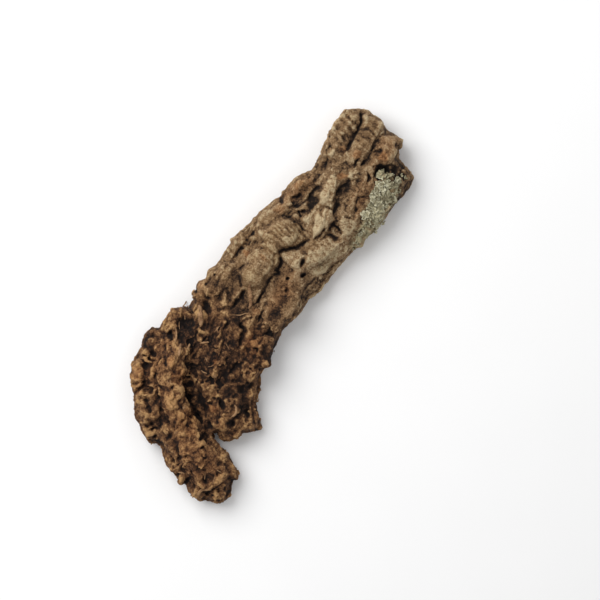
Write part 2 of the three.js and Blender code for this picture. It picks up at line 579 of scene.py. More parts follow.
# The piece seen from above, in millimetres from the plan's origin.
OUTLINE: Sequence[Point] = (
    (147, -1), (145, 4), (140, 12), (130, 14), (120, 13.5), (110, 12.5), (92, 11), (85, 16),
    (80, 19), (70, 21), (68.5, 23), (66, 20.5), (60, 23.5), (50, 27.5), (40, 30), (30, 33),
    (24, 34.5), (22, 36), (19, 35), (8, 35), (1, 36), (-5, 39), (-11, 37.5), (-15, 40.5),
    (-18, 40.5), (-21, 39.5), (-24, 42), (-28, 38), (-34, 38), (-36, 42), (-40, 47), (-58, 48.5),
    (-59, 53), (-65, 55), (-75, 53), (-88, 52.5), (-96, 49.5), (-104, 42), (-110, 38), (-121, 30),
    (-122, 27), (-127, 22), (-130.5, 14), (-128, 9), (-130, 4), (-134, 1), (-138, -4),
    (-141, -14), (-145, -17), (-144.5, -20), (-142, -22), (-148, -30), (-147.5, -36),
    (-145, -41), (-144, -47), (-141, -51), (-134, -53.5), (-128, -50), (-124, -49), (-122, -52),
    (-118, -51), (-113, -42), (-108.6, -37), (-107.8, -31), (-106.4, -28), (-104.8, -24.4),
    (-102, -20.6), (-100.8, -23.5), (-103, -26.8), (-104, -30), (-101.6, -33.4), (-97, -37.6),
    (-91.5, -39), (-88, -44), (-83, -49.5), (-75, -42), (-70, -37), (-60, -34), (-50, -29),
    (-45, -29), (-42, -33), (-36, -29), (-30, -28.5), (-15, -27), (0, -31.5), (12, -32),
    (20, -36), (40, -38.5), (60, -42), (63, -46), (70, -45.5), (80, -49), (100, -51),
    (115, -54), (124, -53), (127, -44), (130, -37), (142, -33), (143, -20), (146, -12),
)

# The middle line of the long prong, from its root to its tip.
ARM_LINE: Sequence[Point] = (
    (-38, 24), (-60, 30), (-80, 32), (-96, 26), (-107, 12), (-115, -6), (-122, -22), (-131, -50),
)

# Cracks: path, width, depth and how much painted shade they get.
CRACKS: Sequence[Crack] = each(
    Crack,
    # the long crack that winds between the knob, the saddle and the plates of the flank
    ([(-11, -1), (-7, -2.5), (2, -1), (10, -1.5), (17, -3.5), (24, -3), (30, 1.5)], 2.6, 5.0),
    ([(28, 0), (31, 2.5), (34, 0), (37, -4), (40, -7.5), (45, -10), (51, -13)], 1.9, 5.5),
    ([(49, -14), (53, -16), (58, -16.8), (62, -18.5)], 1.8, 4.5),
    ([(60, -19.8), (66, -19.5), (70, -22)], 1.6, 3.5),
    # round the top of the knob and the hollow beside it
    ([(-4, 12), (0, 15.5), (4, 18), (7, 20), (11, 18.5), (15, 16)], 2.2, 3.8),
    ([(31, 3), (33.5, 7), (33.5, 13), (30, 19)], 1.8, 1.8, 0.6),
    ([(-23, 13), (-19, 12), (-14, 11), (-9, 9.5), (-3, 9)], 4.4, 4.8),
    ([(-27, 21), (-25, 19), (-22, 15)], 1.6, 3.0),
    ([(-18, -7.5), (-14, -8.5), (-10, -8)], 2.0, 3.5),
    # along the top edge
    ([(-12, 28), (-2, 29), (4, 29), (14, 27.5), (20, 27), (25, 27), (34, 25)], 1.1, 2.4),
    ([(15, 27.6), (20, 27.2), (25, 27)], 1.4, 3.0),
    ([(52, 17), (58, 14), (64, 9), (68, 6)], 1.6, 2.5, 0.6),
    ([(63, 9), (68, 5.5), (74, 3), (81, 3), (87, 1.7), (93, 2)], 2.6, 5.0),
    ([(90, 2), (98, 4.5), (105, 6.5), (111, 9), (117, 13)], 1.3, 3.0),
    ([(83, 10.5), (88, 10), (91.5, 7)], 1.0, 2.0),
    ([(57, 2), (61, 3.4), (65, 1), (67, -2)], 3.0, 5.0),
    ([(51, -6), (53, -3), (54.5, 0.5)], 1.4, 3.5),
    # between the fingers of the wide end
    ([(113, -6), (117, -3.2), (123, -2.6), (132, -2.6), (138, -0.5), (146, 2.6)], 1.6, 5.0),
    ([(107, -14), (111, -13.2), (116, -14)], 2.0, 4.0),
    ([(110, -17.5), (115, -18.5), (122, -19.6)], 1.6, 4.0),
    ([(133, -19), (138, -19.6), (145, -18.5)], 1.3, 3.0),
    ([(84, -12), (90, -12.6), (95, -15.5), (100, -16.2)], 2.4, 4.5),
    ([(73, -17), (77, -16.2), (81, -16)], 2.0, 4.0),
    ([(95, -6), (101, -7), (106, -9.5)], 1.2, 2.0, 0.7),
    ([(110, -22), (107, -25), (103, -27)], 1.5, 3.0),
    ([(122, -20), (127, -22), (127, -26)], 1.3, 2.5, 0.7),
    # down the flank below the claw
    ([(58.6, -19), (58.6, -26), (57.4, -32)], 1.3, 3.5),
    ([(64.5, -19), (66.3, -23), (64.5, -27), (62.5, -31)], 2.2, 3.5),
    ([(74.5, -25), (75.5, -29), (77, -32.5)], 1.3, 2.5),
    ([(76, -30), (81, -30), (86, -28.2), (91, -27.3), (94, -29.5), (97, -31.5)], 1.3, 3.0),
    ([(68, -39.5), (74, -40), (80, -41.5)], 0.9, 1.4, 0.7),
    ([(108, -33), (111.5, -29.5), (117, -28), (116.5, -33), (116, -37)], 3.0, 4.5),
    ([(101, -35.8), (106, -36.2)], 1.3, 1.5),
    ([(95, -41), (100, -40.2)], 1.3, 1.5),
    # the lower edge
    ([(11, -31), (14.5, -28.5), (18, -27), (24, -28), (31, -31.5), (37, -34.5), (50, -37.7)], 1.6, 2.5),
    ([(94, -49.5), (104, -50), (112, -50), (120, -50.5)], 1.8, 1.6, 0.5),
    # the waist
    ([(-62, -10), (-50, -10.5), (-42, -8.5), (-35, -5.5), (-30, -3), (-24, -3)], 2.8, 4.5),
    ([(-52, 1), (-44, 5), (-36, 7.5), (-27, 7)], 2.6, 3.5, 0.9),
    ([(-30, -3), (-26, 0), (-22, -1), (-18, -4)], 2.2, 3.5, 0.9),
    ([(-48, -24), (-42, -24), (-37, -19), (-36, -15)], 1.6, 2.5, 0.8),
    # between the prongs
    ([(-103, -21), (-100, -17), (-96, -12), (-90, -5), (-85, 0), (-80, 4), (-78, 11)], 2.8, 3.0, 0.8),
    ([(-64, -31), (-61, -25), (-61, -18), (-65, -12), (-70, -9)], 4.0, 4.5),
    ([(-86, -46), (-78, -40), (-71, -34.5), (-65, -31.5)], 1.8, 3.0),
    ([(-110, -14), (-104, -15.5)], 2.6, 3.5),
    # the long prong
    ([(-63, 38), (-68, 36), (-73, 33), (-79, 31)], 2.2, 3.5, 0.8),
    ([(-83, 36), (-89, 33), (-92, 26), (-96, 23.5), (-102, 25.5)], 2.4, 3.5, 0.9),
    ([(-90, 25.5), (-93.5, 23.5)], 3.0, 3.0),
    ([(-104, 18), (-109, 14.5), (-113, 13), (-119, 12.5)], 2.4, 3.5, 0.9),
    ([(-81.5, 49), (-82.5, 43)], 1.6, 3.0),
    ([(-104, 31), (-109, 25)], 1.5, 2.5, 0.8),
    ([(-116, 22), (-118, 17), (-120, 12)], 1.8, 3.0),
    ([(-98, 38), (-91, 32)], 1.4, 2.5, 0.7),
    ([(-120, 10.5), (-129, 9.5)], 3.4, 3.0, 0.8),
    ([(-111, 3), (-106, -3.5)], 1.6, 3.0),
    ([(-101, 8.5), (-96, 6.5), (-89.5, 7), (-86, 9.5)], 2.2, 3.0),
    ([(-135, -22.5), (-140, -22), (-145, -19.5)], 1.8, 3.0, 0.8),
    ([(-117.5, -20), (-118.5, -25)], 1.6, 2.5, 0.9),
    ([(-142, -38), (-137, -40.5), (-131, -42)], 2.4, 3.5),
    ([(-126, -46), (-122, -47.5)], 2.6, 3.5),
    ([(-88, 21), (-85, 19)], 1.2, 2.0, 0.9),
    ([(-67, 30), (-65, 33.5), (-63, 35)], 1.4, 2.5, 0.9),
)

# Plates: outline, rise, tint, strength of the tint and width of the lip.
PLATES: Sequence[Plate] = each(
    Plate,
    # the knob and the saddle
    ([(-4, 9), (-2, 13), (2, 15.5), (7, 18.8), (13, 16.4), (16, 19), (27, 20), (31, 14), (32, 5),
      (28, 0.5), (22, -0.5), (17, -1.8), (10, 0.6), (2, 2.5), (-2, 5)], 1.6, Tint.OLIVE, 0.8, 0.9),
    ([(20, 0), (25, 0.5), (28.5, 4), (27, 7.5), (22, 5.5)], 0.6, Tint.PALE, 0.55, 0.8),
    ([(33, 17), (42, 17), (50, 11), (55, 4), (53, -3), (51, -10), (47, -9), (41, -6), (37, -2),
      (34, 1), (32, 6)], 1.2, Tint.OLIVE, 0.6, 0.9),
    ([(39, 6), (44, 2), (48, -2), (50, -9), (46, -8.5), (40, -5), (36.5, 0)], 0.4, Tint.PALE, 0.6, 1.2),
    # the pale claw and the spur behind it
    ([(50, -13.3), (56, -10.4), (62, -8), (67, -8.6), (66, -13), (61, -16), (55, -15.8)],
     2.6, Tint.PALE, 0.7, 0.4),
    ([(58.5, -19.2), (63, -15), (68, -10.5), (73, -10), (74, -15), (71, -18), (68, -21.5), (66, -18.5)],
     2.2, Tint.PALE, 0.7, 0.4),
    ([(57, -3), (63, -2), (69, -5), (69, -9), (62, -8.6), (56, -8)], 0.8, Tint.PALE, 0.6, 0.8),
    ([(74, -6), (79, -2.4), (88, -1.4), (95, -3), (96, -7), (88, -10.5), (80, -13.5), (75, -14.5)],
     2.0, Tint.PALE, 0.6, 0.6),
    ([(94, -7), (99, -6.6), (102.5, -12), (100, -13.5), (95, -10)], 1.2, Tint.RUST, 0.9, 0.4),
    ([(100, -13), (103.5, -12), (106, -17), (103, -20), (100, -17)], 1.4, Tint.PALE, 0.7, 0.4),
    # plates right of the long crack
    ([(27, -1.5), (31, 0), (36, -5), (38.5, -9.5), (37.5, -14), (33, -13.5), (28, -15.6), (25.5, -10)],
     1.9, Tint.PALE, 0.5, 0.5),
    ([(39, -9.5), (46, -11.5), (50, -14.5), (50, -18), (46, -20.5), (41, -16.5), (38, -13)],
     0.7, Tint.OLIVE, 0.6, 0.6),
    ([(33, -17), (40, -16), (45, -20.5), (52, -19.5), (57, -22), (56, -34), (44, -35.5), (35, -32.5),
      (29, -28), (29.5, -21)], 1.0, Tint.PALE, 0.75, 0.7),
    ([(60, -21), (63.5, -22), (62, -30), (59.4, -33)], 0.8, Tint.PALE, 0.6, 0.4),
    ([(68, -22), (74, -24), (75, -31), (71, -34), (64, -33), (66, -28)], 0.9, Tint.PALE, 0.5, 0.5),
    ([(76, -31.5), (85, -29.5), (92, -29), (97, -33), (93, -36), (80, -35)], 0.9, Tint.RUST, 0.4, 0.5),
    # the rim of the shoulder
    ([(-23, 17), (-19, 19.5), (-14, 21), (-11, 20), (-15, 17.5), (-19, 15.5)], 1.0, Tint.PALE, 0.7, 0.5),
    ([(-28, 31), (-24, 36), (-19, 36), (-14, 31), (-16, 25), (-24, 25)], 0.9, Tint.OLIVE, 0.5, 0.8),
    # flakes on the long prong
    ([(-103.5, 18), (-98, 20.5), (-92, 21.5), (-87, 18.5), (-83.5, 20), (-82.5, 15), (-86, 10.6),
      (-89, 10), (-93, 11.5), (-97, 9.5), (-101, 12)], 1.8, Tint.PALE, 0.85, 0.4),
    ([(-90.5, 35.5), (-87, 39), (-83, 39), (-85, 35)], 1.2, Tint.PALE, 0.6, 0.4),
    ([(-89.5, 29), (-87, 31), (-84, 27), (-84.5, 20), (-88.5, 21.5)], 0.8, Tint.PALE, 0.5, 1.0),
    ([(-78, 27), (-74, 31.5), (-70, 32), (-70, 27), (-75, 25)], 0.9, Tint.RUST, 0.5, 1.2),
    ([(-84, 21), (-80, 24), (-73, 22), (-72, 17), (-80, 14), (-84, 16)], 0.4, Tint.RUST, 0.5, 1.4),
    ([(-112, 1.5), (-103, 5), (-94, 3), (-92, -3), (-100, -6), (-107, -11), (-112, -8), (-108, -3)],
     1.0, Tint.RUST, 0.45, 1.0),
    ([(-118.5, 8), (-117, 11.5), (-113, 12), (-112, 9.5), (-115, 7)], 0.8, Tint.PALE, 0.6, 0.4),
    ([(-129, -40), (-125, -38.5), (-120.5, -40), (-121, -44), (-126, -45)], 1.0, Tint.PALE, 0.8, 0.6),
    ([(-103, 36), (-96, 34), (-95, 40), (-101, 44), (-106, 40)], 0.6, Tint.RUST, 0.35, 1.4),
    ([(-96, 45), (-89, 51), (-84, 48), (-86, 42), (-93, 41)], 0.6, Tint.RUST, 0.3, 1.4),
    # flakes on the stub and the waist
    ([(-90, -9), (-86.5, -5), (-85, -10), (-84, -16), (-88, -15)], 1.2, Tint.RUST, 0.7, 0.4),
    ([(-97, -21), (-92, -17), (-88, -22), (-92, -27), (-96, -26)], 0.9, Tint.RUST, 0.3, 0.5),
    ([(-60.5, 2), (-57, 4.5), (-53, 5.5), (-54, 2), (-58, 0)], 1.0, Tint.RUST, 0.7, 0.4),
    ([(-38, -12), (-32, -9.5), (-27, -12), (-31, -15.5), (-37, -15)], 0.5, Tint.RUST, 0.5, 1.2),
    ([(-17, -3), (-13, -1.6), (-11, -5), (-14, -7)], 0.4, Tint.RUST, 0.5, 0.8),
    # the orange lump and brow of the wide end
    ([(120, -25), (124, -23.5), (129, -25.5), (128, -29), (124, -32), (121, -29)], 1.3, Tint.RUST, 0.9, 0.5),
    ([(113.5, -8.5), (118, -8), (119, -13), (115, -14.5), (112.5, -11)], 1.0, Tint.RUST, 0.8, 0.5),
    ([(110.5, 0), (114, 3), (117, -0.5), (115, -3.5), (111, -3)], 0.9, Tint.RUST, 0.6, 0.5),
    ([(128.5, -1), (131, 2.6), (133.5, 1.5), (131.5, -1.8)], 0.5, Tint.PALE, 0.8, 0.5),
    ([(74, 14), (77, 17), (82, 16), (83, 12), (77, 12)], 0.6, Tint.RUST, 0.8, 0.7),
    ([(54, 20), (62, 17), (60, 12), (54, 13)], 0.5, Tint.RUST, 0.5, 0.8),
    ([(16, 19.5), (17, 24), (20, 24), (21, 19.5)], 0.3, Tint.RUST, 0.9, 0.8),
)

# Holes and then lumps: X, Y, half sizes, turn, rise, strength of the tint and the tint.
LUMPS: Sequence[Lump] = each(
    Lump,
    # holes, with painted shade in them from the dark stain tint
    (18.3, -12.6, 1.3, 1.2, 0, -3.0, 1.0), (25, -19.5, 2.8, 1.7, -20, -3.0, 0.9),
    (32, -15.4, 3.0, 1.2, 15, -2.6, 0.8), (11, -16.2, 2.2, 1.6, 20, -1.5, 0.7, Tint.RUST),
    (33, 24.6, 1.8, 1.3, -30, -2.6, 0.9), (-13.5, 34.5, 1.3, 1.0, 0, -2.0, 0.9),
    (-22.5, 38.7, 2.4, 1.1, 10, -2.6, 0.9), (-5.5, 34, 1.0, 0.8, 0, -1.6, 0.8),
    (-28, 26, 4.5, 3.0, 60, -2.6, 0.7), (63.5, 18.5, 1.6, 2.8, -20, -2.2, 0.8),
    (71.5, 11.7, 2.6, 1.2, -15, -2.4, 0.9), (97, 10.4, 1.6, 0.8, 0, -1.2, 0.7),
    (54, 3.4, 1.1, 1.0, 0, -2.0, 0.8), (73, -0.5, 6.5, 4.2, -10, -3.0, 0.75),
    (105, -6, 4.5, 2.6, -30, -1.4, 0.45), (122, 3, 3.0, 2.2, 0, -1.2, 0.4),
    (116, -31, 3.6, 4.6, 0, -3.6, 1.0), (120, -41, 4.2, 6.5, 0, -2.8, 0.85),
    (-90, -28.5, 3.4, 3.6, 30, -2.2, 1.0), (-80.5, -16.5, 4.2, 2.4, 15, -1.8, 1.0),
    (-93, -19.5, 1.8, 1.2, 20, -1.6, 0.8), (-84.5, -45.5, 1.8, 1.4, 0, -2.0, 0.9),
    (-80, -35, 5.0, 2.2, 25, -2.0, 0.7), (-81, 10.5, 3.4, 2.6, 0, -2.0, 0.9),
    (-92, -6, 17, 6, 50, -2.2, 0.5), (-119, 5, 4.2, 2.8, 20, -1.3, 0.75),
    (-130, -33.5, 4.0, 5.0, -20, -1.8, 0.6), (-113.5, -19.5, 1.8, 1.2, -30, -1.6, 0.9),
    (-57, 39.5, 3.2, 2.8, 0, -2.0, 0.95), (-55, 24, 3.4, 1.8, 25, -1.6, 0.9),
    (-66, -22, 3.0, 4.0, 0, -2.0, 0.8), (-44, 32, 6.0, 5.0, 20, -2.0, 0.65),
    (-66, 52.6, 6.5, 2.4, 0, 1.5, 0.85), (-103, 30, 3.0, 1.6, -40, -1.2, 0.6),
    (-133, -51, 5.5, 2.0, 0, -1.0, 0.8),
    # lumps
    (-24, 40, 4.0, 2.6, 20, 1.5), (-16.5, 38, 3.2, 2.8, 0, 1.2, 0.4, Tint.RUST),
    (-6, 36.5, 4.0, 2.6, 0, 1.0, 0.7, Tint.OLIVE), (21, 33, 4.0, 2.6, 10, 1.4),
    (-41.5, -30, 4.0, 3.6, 0, 1.5), (-142, -17.5, 3.4, 2.8, 0, 1.6),
    (-125, 19, 4.5, 5.0, 30, 2.0, 0.2, Tint.PALE), (-114, 24, 4.8, 6.0, 20, 2.0, 0.2, Tint.PALE),
    (-103, 33, 5.0, 6.0, 30, 1.8, 0.4, Tint.PALE), (-92, 44, 5.0, 6.5, 10, 1.6, 0.2, Tint.RUST),
    (-77, 46, 5.0, 6.0, 0, 1.4, 0.3, Tint.PALE), (22, 9.5, 1.8, 3.8, -15, -0.3, 0.5, Tint.RUST),
)

# Soft stains: X, Y, half sizes, turn and strength.
STAINS: dict[Tint, Sequence[Stain]] = {
    # Dark stains: partly the cork's own dark patches, partly painted shade in valleys, grooves, under the
    # lichen and on the lower edge and end.
    Tint.SOOT: each(
        Stain,
        (-52, 2, 26, 17, 0, 0.5), (-50, 27, 13, 12, 0, 0.45), (-85, 0, 12, 6, 40, 0.55),
        (-78, -22, 20, 14, 0, 0.35), (-66, -18, 7, 12, 0, 0.5), (-20, 9, 13, 6, 0, 0.55),
        (-15, -16, 10, 7, 0, 0.25), (3, -2.5, 13, 3, 0, 0.45), (66, 4, 9, 6, -35, 0.5),
        (88, -15, 15, 3.4, -5, 0.5), (88, -20, 17, 4, 0, 0.25), (121, -41, 7, 12, 0, 0.95),
        (110, -52, 17, 3, -3, 0.95), (122, -18, 12, 3, 0, 0.25), (32, -34, 20, 2.6, -14, 0.55),
        (138, -28, 10, 7, 0, 0.35), (140, 8, 9, 6, 0, 0.25), (-118, 31, 10, 5, 40, 0.4),
        (-38, -25, 24, 10, 0, 0.5), (0, -28, 16, 5, 0, 0.5), (-83, 0, 9, 6, 40, 0.4),
        (-106, 21, 8, 4, 20, 0.45), (106, -41, 13, 8, 0, 0.6), (-6, -20, 13, 7, 0, 0.4),
        (-38, 1, 16, 7, 0, 0.4), (-62, 0, 12, 8, 0, 0.35), (-42, 31, 10, 6, 0, 0.5),
        (-118, 20, 12, 8, 40, 0.3), (128, -10, 16, 6, 0, 0.35), (36, -9, 12, 7, 0, 0.25),
    ),
    Tint.OLIVE: each(
        Stain,
        (-5, 22, 20, 12, 0, 0.45), (15, 30, 28, 7, -10, 0.55), (38, 18, 18, 9, -20, 0.5),
        (105, 8, 14, 5, 0, 0.45), (133, 6, 12, 7, 0, 0.45), (132, -10, 14, 7, 0, 0.6),
    ),
    Tint.RUST: each(
        Stain,
        (14, -14, 16, 10, 0, 0.3), (128, -26, 16, 7, 0, 0.4), (72, 14, 18, 6, -20, 0.4),
        (96, -27, 14, 6, 0, 0.35), (-32, -14, 14, 7, 10, 0.35), (-100, 14, 18, 10, 45, 0.25),
        (-122, -20, 12, 26, -20, 0.3), (-78, 38, 22, 10, 0, 0.25), (4, -14, 16, 7, 0, 0.4),
    ),
    Tint.PALE: each(
        Stain,
        (44, -25, 15, 9, 0, 0.45), (68, -30, 10, 9, 0, 0.3), (60, -10, 12, 6, 0, 0.3),
        (84, -7, 12, 6, 0, 0.25), (18, 10, 16, 9, 0, 0.45), (42, -31, 16, 6, -14, 0.8),
        (62, -39, 20, 5, -14, 0.6), (-99, 3, 6, 7, 0, 0.5), (98, -29, 11, 5, 0, 0.4),
        (38, -36, 14, 4, -14, 0.6), (106, 0, 12, 6, 0, 0.3), (-100, 41, 10, 6, 40, 0.4),
        (-82, 20, 9, 7, 0, 0.25),
    ),
    Tint.ALGAE: each(
        Stain,
        (74, -43, 17, 6, -12, 1.0), (97, -41, 22, 8, -5, 0.8), (42, -30, 12, 5, -10, 0.3),
    ),
}

# Patches of wrinkles: X, Y, half sizes, turn, pitch and depth.
WRINKLES: Sequence[Wrinkles] = each(
    Wrinkles,
    (43, 4, 13, 14, -12, 3.1, 1.15), (53, -4, 4, 8, -15, 2.0, 1.4), (22, 6, 9, 9, -8, 3.4, 0.45),
    (45, -26, 14, 10, -10, 4.2, 0.6), (67, -28, 9, 9, -8, 2.6, 0.9), (12, 9, 16, 10, 8, 5.4, 0.3),
    (20, 30, 48, 6, -15, 4.6, 0.7), (127, 6, 18, 8, -10, 4.4, 1.1), (130, -10, 16, 7, 0, 5.0, 1.0),
    (85, -7, 12, 7, 30, 3.2, 0.6), (64, -13, 10, 6, 120, 2.4, 0.6), (-78, 47, 20, 7, 5, 6.4, 1.3),
    (-102, 37, 12, 8, 38, 6.2, 1.4), (-121, 20, 10, 9, 50, 6.0, 1.4),
    (-134, -10, 7, 18, 70, 6.2, 1.2), (-143, -33, 6, 14, 90, 6.0, 1.0),
    (-40, 14, 22, 9, 100, 2.6, 0.8), (-36, -16, 20, 9, 10, 4.4, 0.8),
)

# Smooth patches: X, Y, half sizes, turn and how smooth they are.
CALMS: Sequence[Calm] = each(
    Calm,
    (14, 9, 19, 11, 0, 0.85), (42, 6, 15, 15, -30, 0.9), (32, -8, 8, 8, 0, 0.6),
    (44, -26, 16, 10, -10, 0.6), (63, -13, 13, 7, 0, 0.8), (84, -7, 12, 6, 0, 0.6),
    (128, 6, 18, 9, 0, 0.85), (128, -10, 18, 8, 0, 0.8), (10, 27, 34, 8, -10, 0.35),
    (10, -14, 18, 11, 0, 0.35), (90, -42, 32, 8, -5, 0.5),
)

CHIPS_COARSE = Chips(31, 7.0, (2.6, 5.2), (0.4, 1.7))
CHIPS_FINE = Chips(32, 4.2, (1.2, 2.4), (0.2, 0.9))

# Where the two crusts of lichen grow.
LICHEN_PATCH: Sequence[Point] = (
    (80, -36), (84, -34), (90, -35.5), (96, -33.5), (101, -35), (107, -34), (110, -30), (114, -31),
    (116.5, -36), (115, -41), (119, -44.5), (120, -47.5), (113, -47.5), (106, -49), (97, -49.5),
    (88, -50), (81, -48),
)
LICHEN_FRINGE: Sequence[Point] = (
    (60, -40), (66, -42), (70, -39), (77, -39), (81, -41), (81, -48), (76, -47), (70, -44.5),
    (66, -44), (63, -45.5), (60, -42),
)

# The slivers that stand out: path, width and lift.
SLIVERS: Sequence[Sliver] = each(
    Sliver,
    ([(2, 8.5), (-2, 7.5), (-4.5, 4.6), (-8, 3), (-10, 1.0), (-14.5, 0.8)], 3.0, 2.4),
    ([(-25, 11), (-22.5, 7), (-21, 3.5), (-17.5, 1), (-16, -3)], 0.7, 0.8),
    ([(-28.5, 32.5), (-32, 29.5), (-36, 26.5), (-40, 24), (-42, 23.4)], 3.8, 1.8),
    ([(-31, 28.6), (-35, 26), (-39, 23.4)], 1.6, 1.4),
    ([(-58, 29.8), (-62, 28), (-67, 26)], 2.2, 1.4),
    ([(-55, 24.5), (-58, 23.2), (-61, 23.6)], 1.5, 1.2),
    ([(-50, 40), (-52, 37), (-56, 34.5), (-60, 33)], 1.3, 1.4),
    ([(-52, 18.5), (-49.5, 15.5), (-47.5, 12.5)], 1.2, 1.0),
    ([(-85.5, -26), (-82, -28), (-78, -26.5), (-76.5, -23.5)], 1.8, 1.3),
    ([(-66, -1), (-67, -4)], 1.8, 1.0),
    ([(-144.5, -33), (-140.5, -33), (-138, -36), (-136, -40)], 2.0, 1.2),
    ([(-37, 42.2), (-34, 41.4), (-31, 42.2)], 1.0, 0.6),
    ([(-97, 5.4), (-94.5, 5.2)], 1.5, 1.0),
)


# ---------------------------------------------------------------- meshes


def new_object(name: str, points: Array, faces: list, smooth_faces: bool = True) -> bpy.types.Object:
    """Makes a mesh object from points in millimetres.

    Args:
        name: the piece's name.
        points: the corners, in millimetres.
        faces: corner numbers of each face.
        smooth_faces: shades the faces as one rounded surface.

    Returns:
        The object, linked into the scene.
    """
    mesh = bpy.data.meshes.new(name)
    mesh.from_pydata((np.asarray(points) * MM).tolist(), [], faces)
    mesh.update()
    mesh.polygons.foreach_set("use_smooth", [smooth_faces] * len(mesh.polygons))
    piece = bpy.data.objects.new(name, mesh)
    bpy.context.scene.collection.objects.link(piece)
    return piece


def add_mask(piece: bpy.types.Object, name: str, values: Array) -> None:
    """Stores one number per corner, which the piece's finish reads by its name."""
    layer = piece.data.attributes.new(name, "FLOAT", "POINT")
    layer.data.foreach_set("value", np.ascontiguousarray(values, dtype=np.float32))


def largest_part(points: Array, faces: Array) -> tuple[Array, Array]:
    """Drops every loose crumb of a mesh but the largest part.

    Args:
        points: the corners.
        faces: four corner numbers a face.

    Returns:
        The corners and faces of the largest part.
    """
    label = np.arange(len(points))
    ends = np.concatenate([faces[:, [i, (i + 1) % 4]] for i in range(4)])
    while True:
        low = np.minimum(label[ends[:, 0]], label[ends[:, 1]])
        lower = label.copy()
        np.minimum.at(lower, ends[:, 0], low)
        np.minimum.at(lower, ends[:, 1], low)
        lower = lower[lower]
        if np.array_equal(lower, label):
            break
        label = lower
    names, counts = np.unique(label, return_counts=True)
    kept = label == names[np.argmax(counts)]
    renumbered = np.cumsum(kept) - 1
    return points[kept], renumbered[faces[kept[faces[:, 0]]]]


@dataclass
class DistanceGrid:
    """A block of cells holding the distance to a surface, below zero inside it."""

    values: Array
    corner: Array
    cell: float

    MARGIN = 6
    LIMIT = 3.0

    @classmethod
    def around(cls, source: bpy.types.Object, cell: float, band: float) -> DistanceGrid:
        """Measures the distances round a closed mesh.

        Args:
            source: the mesh object, at rest at the origin.
            cell: the size of a cell.
            band: how far from the surface distances are true.

        Returns:
            The grid, with room round the mesh.
        """
        mesh = source.data
        mesh.calc_loop_triangles()
        points = np.empty(len(mesh.vertices) * 3, dtype=np.float32)
        mesh.vertices.foreach_get("co", points)
        points = points.reshape(-1, 3) / MM
        triangles = np.empty(len(mesh.loop_triangles) * 3, dtype=np.int32)
        mesh.loop_triangles.foreach_get("vertices", triangles)
        level = openvdb.FloatGrid.createLevelSetFromPolygons(
            points,
            triangles=triangles.reshape(-1, 3),
            transform=openvdb.createLinearTransform(voxelSize=cell),
            halfWidth=band / cell,
        )
        low = np.floor(points.min(0) / cell).astype(int) - cls.MARGIN
        high = np.ceil(points.max(0) / cell).astype(int) + cls.MARGIN
        values = np.empty(tuple(high - low), dtype=np.float32)
        level.copyToArray(values, ijk=tuple(int(v) for v in low))
        return cls(values, low * cell, cell)

    def axes(self) -> tuple[Array, Array, Array]:
        """The places of the cells along X, Y and Z."""
        return tuple(self.corner[i] + self.cell * np.arange(n) for i, n in enumerate(self.values.shape))

    def columns(self) -> tuple[Array, Array]:
        """X and Y of every column of cells."""
        x, y, _ = self.axes()
        return np.meshgrid(x, y, indexing="ij")

    def top(self) -> Array:
        """Finds the highest surface in each column.

        Returns:
            Its height, or 0 where there is none.
        """
        solid = self.values < 0
        z = self.axes()[2]
        last = solid.shape[2] - 1 - np.argmax(solid[:, :, ::-1], axis=2)
        under = np.take_along_axis(self.values, last[:, :, None], 2)[:, :, 0]
        next_up = np.minimum(last + 1, solid.shape[2] - 1)
        over = np.take_along_axis(self.values, next_up[:, :, None], 2)[:, :, 0]
        share = np.clip(under / np.minimum(under - over, -1e-6), 0.0, 1.0)
        return np.where(solid.any(2), z[last] + share * self.cell, 0.0)

    def bottom(self) -> Array:
        """The height of the lowest surface in each column, or 0 where there is none."""
        solid = self.values < 0
        return np.where(solid.any(2), self.axes()[2][np.argmax(solid, axis=2)], 0.0)

    def raise_by(self, lift: Array) -> None:
        """Moves what is in each cell up by its lift.

        Args:
            lift: how far, for every cell, in millimetres.
        """
        place = np.arange(self.values.shape[2])[None, None, :] - lift / self.cell
        place = np.clip(place, 0, self.values.shape[2] - 1.001)
        low = place.astype(int)
        share = (place - low).astype(np.float32)
        below = np.take_along_axis(self.values, low, 2)
        above = np.take_along_axis(self.values, low + 1, 2)
        self.values = below * (1 - share) + above * share

    def sample(self, volume: Array, points: Array) -> Array:
        """Reads a volume of the same shape as the grid between its cells.

        Args:
            volume: the volume.
            points: the places.

        Returns:
            One value for each place.
        """
        place = (points - self.corner) / self.cell
        place = np.clip(place, 0, np.array(volume.shape) - 1.001)
        low = place.astype(int)
        share = place - low
        total = 0.0
        for step in itertools.product((0, 1), repeat=3):
            near = [share[:, a] if s else 1 - share[:, a] for a, s in enumerate(step)]
            i, j, k = (low + step).T
            total = total + near[0] * near[1] * near[2] * volume[i, j, k]
        return total

    def surface(self) -> tuple[Array, Array]:
        """Meshes the surface.

        Returns:
            Its corners and its four-cornered faces.
        """
        level = openvdb.FloatGrid(self.LIMIT)
        level.copyFromArray(np.clip(self.values, -self.LIMIT, self.LIMIT))
        points, quads = level.convertToQuads(0.0)
        return largest_part(points * self.cell + self.corner, quads.astype(np.int64))


# ---------------------------------------------------------------- the bark


